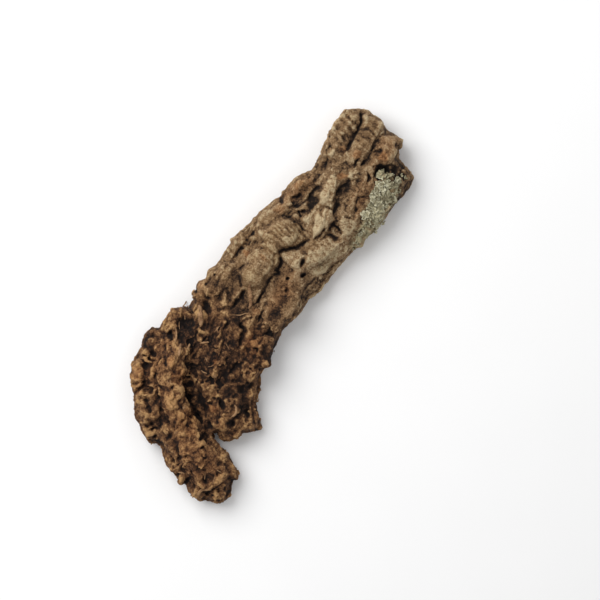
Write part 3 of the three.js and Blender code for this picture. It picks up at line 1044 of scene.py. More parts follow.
@dataclass
class Bark:
    """The corky plate: form, relief, stains with painted light and shade, and mesh."""

    cell: float = 0.62
    band: float = 8.0
    seed: int = 11
    outline_reach: float = 6.0
    outline_spare: float = 0.45
    outline_moves: tuple[float, float] = (-3.0, 3.5)
    first_fit: float = 0.8
    last_fits: tuple[float, float] = (1.5, 0.9)
    edge_fray: Grain = Grain(0.7, 3.2, 5.0)
    fray: tuple[Grain, Grain] = (Grain(2.4, 6.0, 3.3), Grain(2.4, 6.0, 17.7))
    fray_fine: tuple[Grain, Grain] = (Grain(0.9, 1.9, 25.1), Grain(0.9, 1.9, 33.9))
    pinches: Grain = Grain(1.0, 5.0, 60.0)
    sway: Grain = Grain(1.0, 9.0, 40.0)
    lumps: Grain = Grain(1.2, 12.0)
    crumbs: Grain = Grain(0.55, 2.0, 9.0, 3)
    plate_strands: Grain = Grain(1.0, (16.0, 1.9, 1.9))
    prong_strands: Grain = Grain(1.0, (16.0, 1.9, 1.9), 30.0)
    strata_sway: Grain = Grain(2.0, 14.0, 15.0)
    strata: Layers = Layers(1.9, Grain(1.0, (16.0, 16.0, 2.4), 25.0), 3.5, 0.16)
    ribs: Grain = Grain(0.6, (5.0, 5.0, 1.1), 35.0)
    bends: Sequence[Grain] = (Grain(1.6, 3.6, 50.0), Grain(1.6, 3.6, 60.0), Grain(1.6, 3.6, 70.0))
    sheets: Layers = Layers(3.4, Grain(1.0, (11.0, 7.5, 7.5), 80.0), 4.5, 0.12)
    scales: Layers = Layers(1.5, Grain(1.0, (5.0, 3.4, 3.4), 90.0), 3.0, 0.16)
    crumb_cells: tuple[float, float, float] = (4.2, 3.0, 3.0)
    cell_slope: float = 0.45
    veins: Grain = Grain(1.0, (9.0, 5.0, 5.0), 40.0)
    vein_depth: float = 1.2
    vein_patch: float = 13.0
    vein_shift: float = 45.0
    rough_left: float = 1.0
    rough_right: float = 0.62
    calm_cut: float = 0.75
    calm_chips: float = 0.8
    calm_fray: float = 0.8
    left_rise: float = 1.4
    highest: float = 4.5
    deepest_share: float = 0.42
    root_share: float = 0.3
    relief_reach: float = 2.6
    carved_blur: float = 0.55
    relief_blur: float = 0.42
    crease_size: float = 1.4
    hollow_size: float = 3.6
    noise: Noise = field(init=False)
    grid: DistanceGrid = field(init=False)
    tone: Array = field(init=False)

    def __post_init__(self) -> None:
        """Fills the noise that the relief is drawn from."""
        self.noise = Noise(self.seed)

    def build(self, node: bpy.types.Object) -> bpy.types.Object:
        """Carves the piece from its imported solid.

        Args:
            node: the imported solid.

        Returns:
            The finished mesh object, not yet dressed.
        """
        self.grid = DistanceGrid.around(node, self.cell, self.band)
        self._fit_outline(self.first_fit)
        self._carve_features()
        self._roughen()
        for softness in self.last_fits:
            self._fit_outline(softness)
        self._rest()
        points, faces = self.grid.surface()
        piece = new_object("bark_piece", points, faces.tolist())
        for name, values in self._masks(piece, points).items():
            add_mask(piece, name, values)
        log.info("bark: %d corners, %d faces", len(points), len(faces))
        return piece

    def _frayed(self, x: Array, y: Array) -> tuple[Array, Array]:
        """Finds the plan coordinates from which the drawn features are read.

        Args:
            x: X of places in the frame.
            y: Y of places in the frame.

        Returns:
            The coordinates, moved about so that the edges of the features are ragged.
        """
        px, py = on_plan(x, y)
        frays = zip(self.fray, self.fray_fine)
        wx, wy = (big.read(self.noise, px, py) + small.read(self.noise, px, py) for big, small in frays)
        loose = 1.0 - self.calm_fray * self._calm(px, py)
        return px + loose * wx, py + loose * wy

    def _fit_outline(self, softness: float) -> None:
        """Moves the sides in or out to the piece's own outline.

        Args:
            softness: the length over which the move is evened out, so that finer relief stays.
        """
        x, y = on_plan(*self.grid.columns())
        frayed = self.edge_fray.read(self.noise, x, y)
        edge = -inside_distance(x, y, OUTLINE) - self.outline_spare + frayed
        near = np.exp(-((edge / self.outline_reach) ** 2))
        shift = np.clip(edge - self.grid.values.min(axis=2), *self.outline_moves) * near
        shift = blurred(shift.astype(np.float32), softness / self.cell)
        self.grid.values += shift[:, :, None]

    def _rest(self) -> None:
        """Cuts off what reaches below the surface that the piece lies on."""
        z = self.grid.axes()[2].astype(np.float32)
        self.grid.values = np.maximum(self.grid.values, -z[None, None, :])

    def _calm(self, px: Array, py: Array) -> Array:
        """How smooth the cork is at some places of the plan, from 0 to 1."""
        return np.maximum.reduce([patch.calm(px, py) for patch in CALMS])

    def _pinch(self, px: Array, py: Array) -> Array:
        """How open the cracks are along their way, from a half to 1."""
        return 0.5 + 0.5 * smooth(-0.45, 0.35, self.pinches.read(self.noise, px, py))

    def _feature_height(self, x: Array, y: Array) -> Array:
        """Adds up every drawn feature.

        Args:
            x: X of places in the frame.
            y: Y of places in the frame.

        Returns:
            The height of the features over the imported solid.
        """
        px, py = self._frayed(x, y)
        height = np.zeros(x.shape)
        for feature in (*PLATES, *LUMPS):
            height += feature.height(px, py)
        sway = self.sway.read(self.noise, px, py)
        for wrinkles in WRINKLES:
            height += wrinkles.height(px, py, sway)
        height *= 1 + (self.left_rise - 1) * smooth(-20.0, -50.0, px)
        cut = np.minimum.reduce([crack.height(px, py) for crack in CRACKS])
        return height + cut * self._pinch(px, py)

    def _carve_features(self) -> None:
        """Lifts and sinks the back of the piece by its drawn features and its chips."""
        x, y = self.grid.columns()
        px, py = on_plan(x, y)
        share = (0.6 + 0.4 * smooth(0.0, -30.0, px)) * (1.0 - self.calm_chips * self._calm(px, py))
        coarse, coarse_tone = CHIPS_COARSE.lay(px, py, share)
        fine, fine_tone = CHIPS_FINE.lay(px, py, share)
        self.tone = np.where(fine_tone != 0, fine_tone, coarse_tone)
        bottom = self.grid.bottom()
        thickness = np.maximum(self.grid.top() - bottom, 0.1)
        height = self._feature_height(x, y) + coarse + fine
        height = np.clip(height, -self.deepest_share * thickness, self.highest)
        root = self.root_share * thickness
        over = self.grid.axes()[2][None, None, :] - (bottom + root)[:, :, None]
        self.grid.raise_by(height[:, :, None] * smooth(0.0, 1.0, over / root[:, :, None]))
        self.grid.values = blurred(self.grid.values, self.carved_blur)

    def _roughen(self) -> None:
        """Adds the crumbs, torn layers and fibres that cover all of the cork."""
        near = np.nonzero(np.abs(self.grid.values) < self.relief_reach)
        x, y, z = (axis[index] for axis, index in zip(self.grid.axes(), near))
        px, py = on_plan(x, y)
        rough = self.rough_right + (self.rough_left - self.rough_right) * smooth(0.0, -30.0, px)
        wall = smooth(5.0, 1.5, inside_distance(px, py, OUTLINE))
        rough *= 1.0 - self.calm_cut * self._calm(px, py) * (1 - wall)
        top, bottom = self.grid.top()[near[:2]], self.grid.bottom()[near[:2]]
        under = smooth(3.0, 0.0, z - bottom - 0.5) * smooth(2.0, 5.0, top - z) * smooth(0.5, 3.0, z)
        strands = self._strands(px, py, z)
        lumps, crumbs = self.lumps.read(self.noise, x, y, z), self.crumbs.read(self.noise, x, y, z)
        outer = rough * (self._sheets(x, y, z) + crumbs + 0.6 * strands) + lumps
        outer += wall * self._strata(x, y, z)
        inner = 0.35 * crumbs + 0.8 * strands + 0.4 * lumps
        move = outer * (1 - under) + inner * under
        move *= 0.35 + 0.65 * smooth(0.0, 3.0, z)
        most = self.relief_reach - 0.2
        self.grid.values[near] -= np.clip(move, -most, most).astype(np.float32)
        self.grid.values = blurred(self.grid.values, self.relief_blur)

    def _strata(self, x: Array, y: Array, z: Array) -> Array:
        """Height of the layers that show where the plate is broken off."""
        level = z + self.strata_sway.read(self.noise, x, y, z)
        return self.strata.read(self.noise, x, y, level) + self.ribs.read(self.noise, x, y, level)

    def _sheets(self, x: Array, y: Array, z: Array) -> Array:
        """Works out the torn layers of the cork and the splits in it.

        Args:
            x: X of the points.
            y: Y of the points.
            z: Z of the points.

        Returns:
            How far the layers stand out.
        """
        noise = self.noise
        bent = [c + bend.read(noise, x, y, z) for c, bend in zip((x, y, z), self.bends)]
        slopes = noise.slopes(*(c / size for c, size in zip(bent, self.crumb_cells)))
        patch = self.vein_patch
        split = smooth(-0.2, 0.3, noise.value(x / patch, y / patch, z / patch + self.vein_shift))
        veins = smooth(0.10, 0.02, np.abs(self.veins.read(noise, *bent))) * split
        height = self.sheets.read(noise, *bent) + self.scales.read(noise, *bent)
        return height + self.cell_slope * slopes - self.vein_depth * veins

    def _strands(self, px: Array, py: Array, z: Array) -> Array:
        """Draws fibres along the plate, and along the long prong where that is.

        Args:
            px: X of the points on the plan.
            py: Y of the points on the plan.
            z: Z of the points.

        Returns:
            How far the fibres stand out.
        """
        side, along, _ = along_path(px, py, ARM_LINE)
        on_arm = smooth(30.0, 17.0, np.abs(side)) * smooth(-36.0, -58.0, px + 0.5 * np.minimum(py, 0))
        plate = self.plate_strands.read(self.noise, px, py, z)
        prong = self.prong_strands.read(self.noise, along, side, z)
        return plate * (1 - on_arm) + prong * on_arm

    def _masks(self, piece: bpy.types.Object, points: Array) -> dict[str, Array]:
        """Works out what the finish needs to know at each corner.

        Args:
            piece: the mesh object, for its normals.
            points: its corners.

        Returns:
            The masks by name, each from 0 to 1.
        """
        filled = smooth(0.4, -0.4, self.grid.values).astype(np.float32)
        tone = blurred(self.tone.astype(np.float32), 0.5)[:, :, None]
        px, py = self._frayed(points[:, 0], points[:, 1])
        masks = self._stains(px, py)
        # Painted light and shade: how enclosed each corner is, at two sizes; the finish darkens enclosed
        # corners and lightens open ones.
        masks["crease"] = self.grid.sample(blurred(filled, self.crease_size / self.cell), points)
        masks["hollow"] = self.grid.sample(blurred(filled, self.hollow_size / self.cell), points)
        masks["left"] = smooth(14.0, -36.0, points[:, 0])
        masks["calm"] = self._calm(px, py)
        # Painted shade: the cork is darkened towards its outline.
        masks["edge"] = smooth(2.6, 0.2, inside_distance(px, py, OUTLINE))
        masks["tone"] = 0.5 + 0.5 * self.grid.sample(np.broadcast_to(tone, filled.shape), points)
        masks["sheet"] = smooth(-1.6, 1.6, self._sheets(*points.T))
        masks["inner"] = self._inner(piece, points)
        return masks

    def _stains(self, px: Array, py: Array) -> dict[str, Array]:
        """Lays the stains of each tint over one another, and the painted shade of the cracks over the dark
        one.

        Args:
            px: X of the corners on the frayed plan.
            py: Y of the corners on the frayed plan.

        Returns:
            How much of each tint the corners carry, by the tint's name.
        """
        masks = {}
        for tint in Tint:
            amount = np.zeros(px.shape)
            relief = (mark for mark in (*PLATES, *LUMPS) if mark.tint is tint)
            for mark in (*STAINS[tint], *relief):
                amount = amount + (1 - amount) * mark.stain(px, py)
            masks[tint.value] = amount
        pinch = self._pinch(px, py)
        # The cracks add painted shade in and beside their slits.
        dark = [0.6 * crack.stain(px, py) * pinch for crack in CRACKS]
        masks[Tint.SOOT.value] = np.maximum.reduce([masks[Tint.SOOT.value], *dark])
        return masks

    def _inner(self, piece: bpy.types.Object, points: Array) -> Array:
        """Finds the inner bark that lines the hollow underneath.

        Args:
            piece: the mesh object, for its normals.
            points: its corners.

        Returns:
            1 on inner bark and 0 elsewhere.
        """
        normals = np.empty(len(points) * 3, dtype=np.float32)
        piece.data.vertices.foreach_get("normal", normals)
        i, j = ((points[:, :2] - self.grid.corner[:2]) / self.cell).astype(int).T
        depth = self.grid.top()[i, j] - points[:, 2]
        return smooth(3.0, 8.0, depth) * smooth(0.1, -0.5, normals.reshape(-1, 3)[:, 2])


# ---------------------------------------------------------------- finishes


@dataclass(frozen=True)
class Wire:
    """A node's output, which can be reckoned with like a number."""

    shades: Shades
    socket: bpy.types.NodeSocket

    def _math(self, operation: str, *operands: Wire | float) -> Wire:
        """A Math node on the operands."""
        return self.shades.add("ShaderNodeMath", {"operation": operation}, dict(enumerate(operands)))

    def __add__(self, other: Wire | float) -> Wire:
        """Sum."""
        return self._math("ADD", self, other)

    __radd__ = __add__

    def __mul__(self, other: Wire | float) -> Wire:
        """Product."""
        return self._math("MULTIPLY", self, other)

    __rmul__ = __mul__

    def __sub__(self, other: Wire | float) -> Wire:
        """Difference."""
        return self._math("SUBTRACT", self, other)

    def __rsub__(self, other: Wire | float) -> Wire:
        """Difference from a number."""
        return self._math("SUBTRACT", other, self)

    def step(self, low: float, high: float) -> Wire:
        """Turns it into a smooth step.

        Args:
            low: where the step is 0.
            high: where it is 1, above low or below it.

        Returns:
            The step, from 0 to 1.
        """
        settings = {"interpolation_type": "SMOOTHSTEP"}
        if low < high:
            return self.shades.add("ShaderNodeMapRange", settings, {0: self, 1: low, 2: high})
        return 1.0 - self.shades.add("ShaderNodeMapRange", settings, {0: self, 1: high, 2: low})


class Shades:
    """A material under construction, in the object's own coordinates in millimetres."""

    def __init__(self, name: str) -> None:
        """Starts an empty material that knows the place of each point.

        Args:
            name: the material's name.
        """
        self.material = bpy.data.materials.new(name)
        self.material.use_nodes = True
        self.tree = self.material.node_tree
        self.tree.nodes.clear()
        place = self.add("ShaderNodeTexCoord", {}, {}, "Object")
        scaled = {"operation": "SCALE"}
        self.place = self.add("ShaderNodeVectorMath", scaled, {0: place, "Scale": 1.0 / MM})

    def add(
        self,
        kind: str,
        settings: dict[str, object],
        inputs: dict[int | str, object],
        output: int | str = 0,
    ) -> Wire:
        """Adds a node.

        Args:
            kind: the node's type.
            settings: its settings, set first; a ramp's stops go under "stops".
            inputs: values or wires for its sockets, by number or name.
            output: the socket that the wire comes from.

        Returns:
            The wire from the output.
        """
        node = self.tree.nodes.new(kind)
        for key, value in settings.items():
            if key == "stops":
                self._set_stops(node.color_ramp, value)
            else:
                setattr(node, key, value)
        for key, value in inputs.items():
            socket = node.inputs[key]
            if isinstance(value, Wire):
                self.tree.links.new(value.socket, socket)
            elif socket.type == "RGBA":
                socket.default_value = (*value, 1.0)
            else:
                socket.default_value = value
        return Wire(self, node.outputs[output])

    @staticmethod
    def _set_stops(ramp: bpy.types.ColorRamp, stops: Stops) -> None:
        """Gives a ramp its stops.

        Args:
            ramp: the ramp, with fewer elements than stops.
            stops: the place and colour of each stop.
        """
        while len(ramp.elements) < len(stops):
            ramp.elements.new(1.0)
        for element, (place, colour) in zip(ramp.elements, stops):
            element.position = place
            element.color = (*colour, 1.0)

    def mask(self, name: str) -> Wire:
        """A number kept on the mesh."""
        return self.add("ShaderNodeAttribute", {"attribute_name": name}, {}, "Fac")

    def noise(self, size: float, detail: float = 3.0, rough: float = 0.55, at: Wire | None = None) -> Wire:
        """Soft noise from 0 to 1 with features of the given size in millimetres."""
        inputs = {"Vector": at or self.place, "Scale": 1.0 / size, "Detail": detail, "Roughness": rough}
        return self.add("ShaderNodeTexNoise", {}, inputs)

    def stretched(self, x: float, y: float, z: float) -> Wire:
        """The place with each axis scaled."""
        return self.add("ShaderNodeVectorMath", {"operation": "MULTIPLY"}, {0: self.place, 1: (x, y, z)})

    def cracks(self, size: float, width: float) -> Wire:
        """Draws crooked cracks round patches of cork.

        Args:
            size: the size of the patches, in millimetres.
            width: the width of the cracks, as a share of that.

        Returns:
            1 in the middle of a crack and 0 beyond its width.
        """
        inputs = {"Vector": self.place, "Scale": 1.6 / size, "Detail": 3.0, "Roughness": 0.6}
        wobble = self.add("ShaderNodeTexNoise", {}, inputs, "Color")
        sway = {0: wobble, 1: (size * 0.9,) * 3, 2: self.place}
        swayed = self.add("ShaderNodeVectorMath", {"operation": "MULTIPLY_ADD"}, sway)
        patches = {"Vector": swayed, "Scale": 1.0 / size, "Randomness": 1.0}
        gap = self.add("ShaderNodeTexVoronoi", {"feature": "DISTANCE_TO_EDGE"}, patches, "Distance")
        return gap.step(width, 0.0)

    def mix(self, low: Wire | Colour, high: Wire | Colour, share: Wire | float, blend: str = "MIX") -> Wire:
        """One colour over another."""
        settings = {"data_type": "RGBA", "blend_type": blend}
        return self.add("ShaderNodeMix", settings, {0: share, 6: low, 7: high}, 2)

    def ramp(self, share: Wire, stops: Stops) -> Wire:
        """A colour picked along a row of colours."""
        return self.add("ShaderNodeValToRGB", {"stops": stops}, {0: share})

    def finish(self, colour: Wire, rough: Wire, bump: Wire, depth: float) -> bpy.types.Material:
        """Joins everything in a dull surface shader.

        Args:
            colour: the base colour.
            rough: the roughness.
            bump: the height of the fine relief, from 0 to 1.
            depth: how high the fine relief is, in millimetres.

        Returns:
            The finished material.
        """
        normal = self.add("ShaderNodeBump", {}, {"Height": bump, "Distance": depth * MM, "Strength": 1.0})
        inputs = {"Base Color": colour, "Roughness": rough, "Normal": normal, "Specular IOR Level": 0.25}
        return self.join(inputs)

    def join(self, inputs: dict[str, object]) -> bpy.types.Material:
        """Puts the surface shader on the material's output.

        Args:
            inputs: values or wires for the surface shader's sockets.

        Returns:
            The finished material.
        """
        surface = self.add("ShaderNodeBsdfPrincipled", {}, inputs)
        node = self.tree.nodes.new("ShaderNodeOutputMaterial")
        self.tree.links.new(surface.socket, node.inputs["Surface"])
        return self.material


class CorkGrain:
    """The grain of cork in several sizes, which its colour and its fine relief share."""

    def __init__(self, s: Shades) -> None:
        """Draws the grain.

        Args:
            s: the material.
        """
        self.fine = s.noise(1.0, 4.0, 0.7)
        self.middle = s.noise(2.6, 4.0, 0.65)
        self.broad = s.noise(9.0, 3.0, 0.55)
        self.streaks = s.noise(1.5, 3.0, 0.6, s.stretched(1.0, 0.3, 0.3))
        self.cracked = s.cracks(3.2, 0.16) * (0.3 + self.middle + 0.3 * self.fine).step(0.7, 0.95)
        self.crazed = s.cracks(1.5, 0.2) * (0.3 + self.broad).step(0.65, 0.95)


@dataclass(frozen=True)
class CorkFinish:
    """Dry, weathered cork: brown to olive, pale on its flakes, with painted shade that makes it nearly black
    in its cracks and darker in creases, hollows and at its outline, and painted light on its crests.
    """

    weathered: Stops = (
        (0.0, linear(0.10, 0.065, 0.045)),
        (0.2, linear(0.27, 0.195, 0.135)),
        (0.42, linear(0.455, 0.35, 0.24)),
        (0.65, linear(0.58, 0.465, 0.335)),
        (1.0, linear(0.76, 0.68, 0.54)),
    )
    broken: Stops = (
        (0.0, linear(0.085, 0.05, 0.035)),
        (0.2, linear(0.185, 0.115, 0.072)),
        (0.42, linear(0.34, 0.227, 0.145)),
        (0.65, linear(0.49, 0.35, 0.225)),
        (1.0, linear(0.74, 0.58, 0.39)),
    )
    olive: Colour = linear(0.55, 0.48, 0.33)
    rust: Colour = linear(0.62, 0.43, 0.27)
    algae: Colour = linear(0.62, 0.60, 0.47)
    inner: Colour = linear(0.45, 0.29, 0.19)
    inner_dark: Colour = linear(0.27, 0.17, 0.115)
    lightness: float = 0.497
    depth: float = 0.9

    def material(self) -> bpy.types.Material:
        """Builds the material.

        Returns:
            The material.
        """
        s = Shades("cork")
        grain = CorkGrain(s)
        light = self._light(s, grain)
        colour = s.mix(s.ramp(light, self.weathered), s.ramp(light, self.broken), s.mask("left"))
        colour = self._stained(s, grain, light, colour)
        even = 1.0 - 0.7 * s.mask("calm")
        bump = grain.fine + 0.5 * grain.middle * even + 0.3 * s.noise(0.4, 3.0, 0.6)
        bump = bump + 0.4 * grain.streaks - 0.4 * grain.cracked * even - 0.2 * grain.crazed
        return s.finish(colour, 0.8 + 0.18 * grain.fine, bump, self.depth)

    def _light(self, s: Shades, grain: CorkGrain) -> Wire:
        """Works out how light the cork is: grain, flakes, torn layers and painted light on crests, less dark
        stains that are partly painted shade, and less painted shade in creases, hollows, fine cracks and at
        the outline.

        Args:
            s: the material.
            grain: the grain of the cork.

        Returns:
            The lightness, a place along the rows of colours.
        """
        left, crease = s.mask("left"), s.mask("crease")
        light = self.lightness + (1.45 - 0.2 * left) * (grain.fine - 0.5) + 0.45 * (grain.middle - 0.5)
        light = light + (0.8 + 0.35 * left) * (grain.broad - 0.5) + 0.35 * (grain.streaks - 0.5)
        light = light + 0.2 * (s.mask("tone") - 0.5) + 0.16 * (s.mask("sheet") - 0.5)
        speckle = (0.5 * grain.middle + 0.5 * grain.fine).step(0.36, 0.62)
        light = light + s.mask("pale") * (0.1 + 0.26 * speckle)
        # Painted light on crests and painted shade in creases and hollows.
        light = light + (0.5 - crease) + (0.55 - s.mask("hollow"))
        # Dark stains, partly painted shade, darker still in creases.
        light = light - 0.42 * s.mask("soot") * (0.3 + 0.9 * grain.middle + 0.6 * (crease - 0.4))
        # Painted shade towards the outline, stronger on the broken part.
        light = light - (0.06 + 0.14 * left) * s.mask("edge")
        # Painted shade in the fine cracks of the grain.
        return light - 0.16 * grain.cracked - 0.06 * grain.crazed

    def _stained(self, s: Shades, grain: CorkGrain, light: Wire, colour: Wire) -> Wire:
        """Lays the olive, rust and algae stains and the inner bark over the cork.

        Args:
            s: the material.
            grain: the grain of the cork.
            light: how light the cork is.
            colour: the cork's colour.

        Returns:
            The colour with the stains on it.
        """
        olive = s.mix(colour, self.olive, 0.8, "OVERLAY")
        colour = s.mix(colour, olive, s.mask("olive") * grain.broad.step(0.3, 0.6) * 0.5)
        rust = s.mix(colour, self.rust, 0.65, "SOFT_LIGHT")
        rust = s.mix(rust, self.rust, light.step(0.2, 0.8) * 0.4)
        rusty = s.mask("rust") * (0.2 + grain.middle + 0.3 * grain.fine).step(0.5, 0.85)
        colour = s.mix(colour, rust, rusty)
        algae = s.mask("algae") * (0.2 + grain.middle + 0.7 * grain.fine).step(0.85, 1.2)
        colour = s.mix(colour, self.algae, algae * light.step(0.2, 0.5) * 0.9)
        lines = s.noise(2.2, 4.0, 0.6, s.stretched(0.12, 1.0, 1.0))
        inner = s.mix(self.inner_dark, self.inner, (lines + 0.3 * grain.fine - 0.1).step(0.3, 0.8))
        return s.mix(colour, inner, s.mask("inner"))


@dataclass(frozen=True)
class LichenFinish:
    """Grey-green leafy lichen, paler towards its rims, with painted shade under its leaves."""

    shade: Colour = linear(0.40, 0.36, 0.27)
    body: Colour = linear(0.72, 0.69, 0.56)
    rim: Colour = linear(0.88, 0.86, 0.75)
    # painted shade: nearly black for the leaves' undersides
    under: Colour = linear(0.16, 0.12, 0.09)
    depth: float = 0.15

    def material(self, name: str) -> bpy.types.Material:
        """Builds the material.

        Args:
            name: the material's name.

        Returns:
            The material.
        """
        s = Shades(name)
        fine = s.noise(0.7, 4.0, 0.6)
        broad = s.noise(4.0, 2.0, 0.5)
        rim = s.mask("rim")
        colour = s.mix(self.shade, self.body, (0.5 * fine + 0.5 * broad + 0.3 * rim - 0.15).step(0.3, 0.6))
        colour = s.mix(colour, self.rim, (rim + 0.4 * fine - 0.2).step(0.45, 1.0) * 0.8)
        # Painted shade on the undersides of the leaves.
        colour = s.mix(colour, self.under, s.mask("back") * 0.85)
        return s.finish(colour, 0.85 + 0.1 * fine, fine, self.depth)


@dataclass(frozen=True)
class FibreFinish:
    """Dry bast fibre: pinkish tan with darker streaks."""

    light: Colour = linear(0.64, 0.50, 0.36)
    dark: Colour = linear(0.38, 0.26, 0.17)
    depth: float = 0.12

    def material(self) -> bpy.types.Material:
        """Builds the material.

        Returns:
            The material.
        """
        s = Shades("dry_fibre")
        fine = s.noise(0.8, 4.0, 0.6)
        broad = s.noise(6.0, 2.0, 0.5)
        colour = s.mix(self.dark, self.light, (0.6 * fine + 0.5 * broad).step(0.35, 0.7))
        return s.finish(colour, 0.8 + 0.1 * fine, fine, self.depth)


@dataclass(frozen=True)
class FloorFinish:
    """A plain pale sweep."""

    pale: Colour = linear(0.97, 0.97, 0.97)
    soft: Colour = linear(0.96, 0.96, 0.96)
    roughness: float = 0.9

    def material(self) -> bpy.types.Material:
        """Builds the material.

        Returns:
            The material.
        """
        s = Shades("pale_floor")
        colour = s.mix(self.pale, self.soft, s.noise(60.0, 1.0, 0.4))
        return s.join({"Base Color": colour, "Roughness": self.roughness})


# ---------------------------------------------------------------- what lies on the bark


@dataclass
class Terrain:
    """The carved back of the bark, asked for heights by what is laid on it."""

    grid: DistanceGrid
    softness: float = 1.6
    step: float = 1.2
    steepest: float = 1.6
    heights: Array = field(init=False)
    broad: Array = field(init=False)

    def __post_init__(self) -> None:
        """Reads the heights once."""
        self.heights = self.grid.top()
        self.broad = blurred(self.heights.astype(np.float32), self.softness / self.grid.cell)

    def _read(self, heights: Array, x: Array, y: Array) -> Array:
        """Reads heights between the columns of the grid.

        Args:
            heights: one height for each column.
            x: X of places in the frame.
            y: Y of places in the frame.

        Returns:
            The heights at the places.
        """
        u = np.clip((x - self.grid.corner[0]) / self.grid.cell, 0, heights.shape[0] - 1.001)
        v = np.clip((y - self.grid.corner[1]) / self.grid.cell, 0, heights.shape[1] - 1.001)
        i, j = u.astype(int), v.astype(int)
        s, t = u - i, v - j
        low = heights[i, j] * (1 - s) + heights[i + 1, j] * s
        high = heights[i, j + 1] * (1 - s) + heights[i + 1, j + 1] * s
        return low * (1 - t) + high * t

    def height(self, x: Array, y: Array) -> Array:
        """The exact height of the back."""
        return self._read(self.heights, x, y)

    def lie(self, x: Array, y: Array) -> tuple[Array, Array, Array]:
        """Finds how a small thing lies on the back.

        Args:
            x: X of places in the frame.
            y: Y of places in the frame.

        Returns:
            The height, and the slopes along X and Y.
        """
        step = self.step
        dx = (self._read(self.broad, x + step, y) - self._read(self.broad, x - step, y)) / (2 * step)
        dy = (self._read(self.broad, x, y + step) - self._read(self.broad, x, y - step)) / (2 * step)
        slopes = np.clip((dx, dy), -self.steepest, self.steepest)
        return self._read(self.broad, x, y), slopes[0], slopes[1]


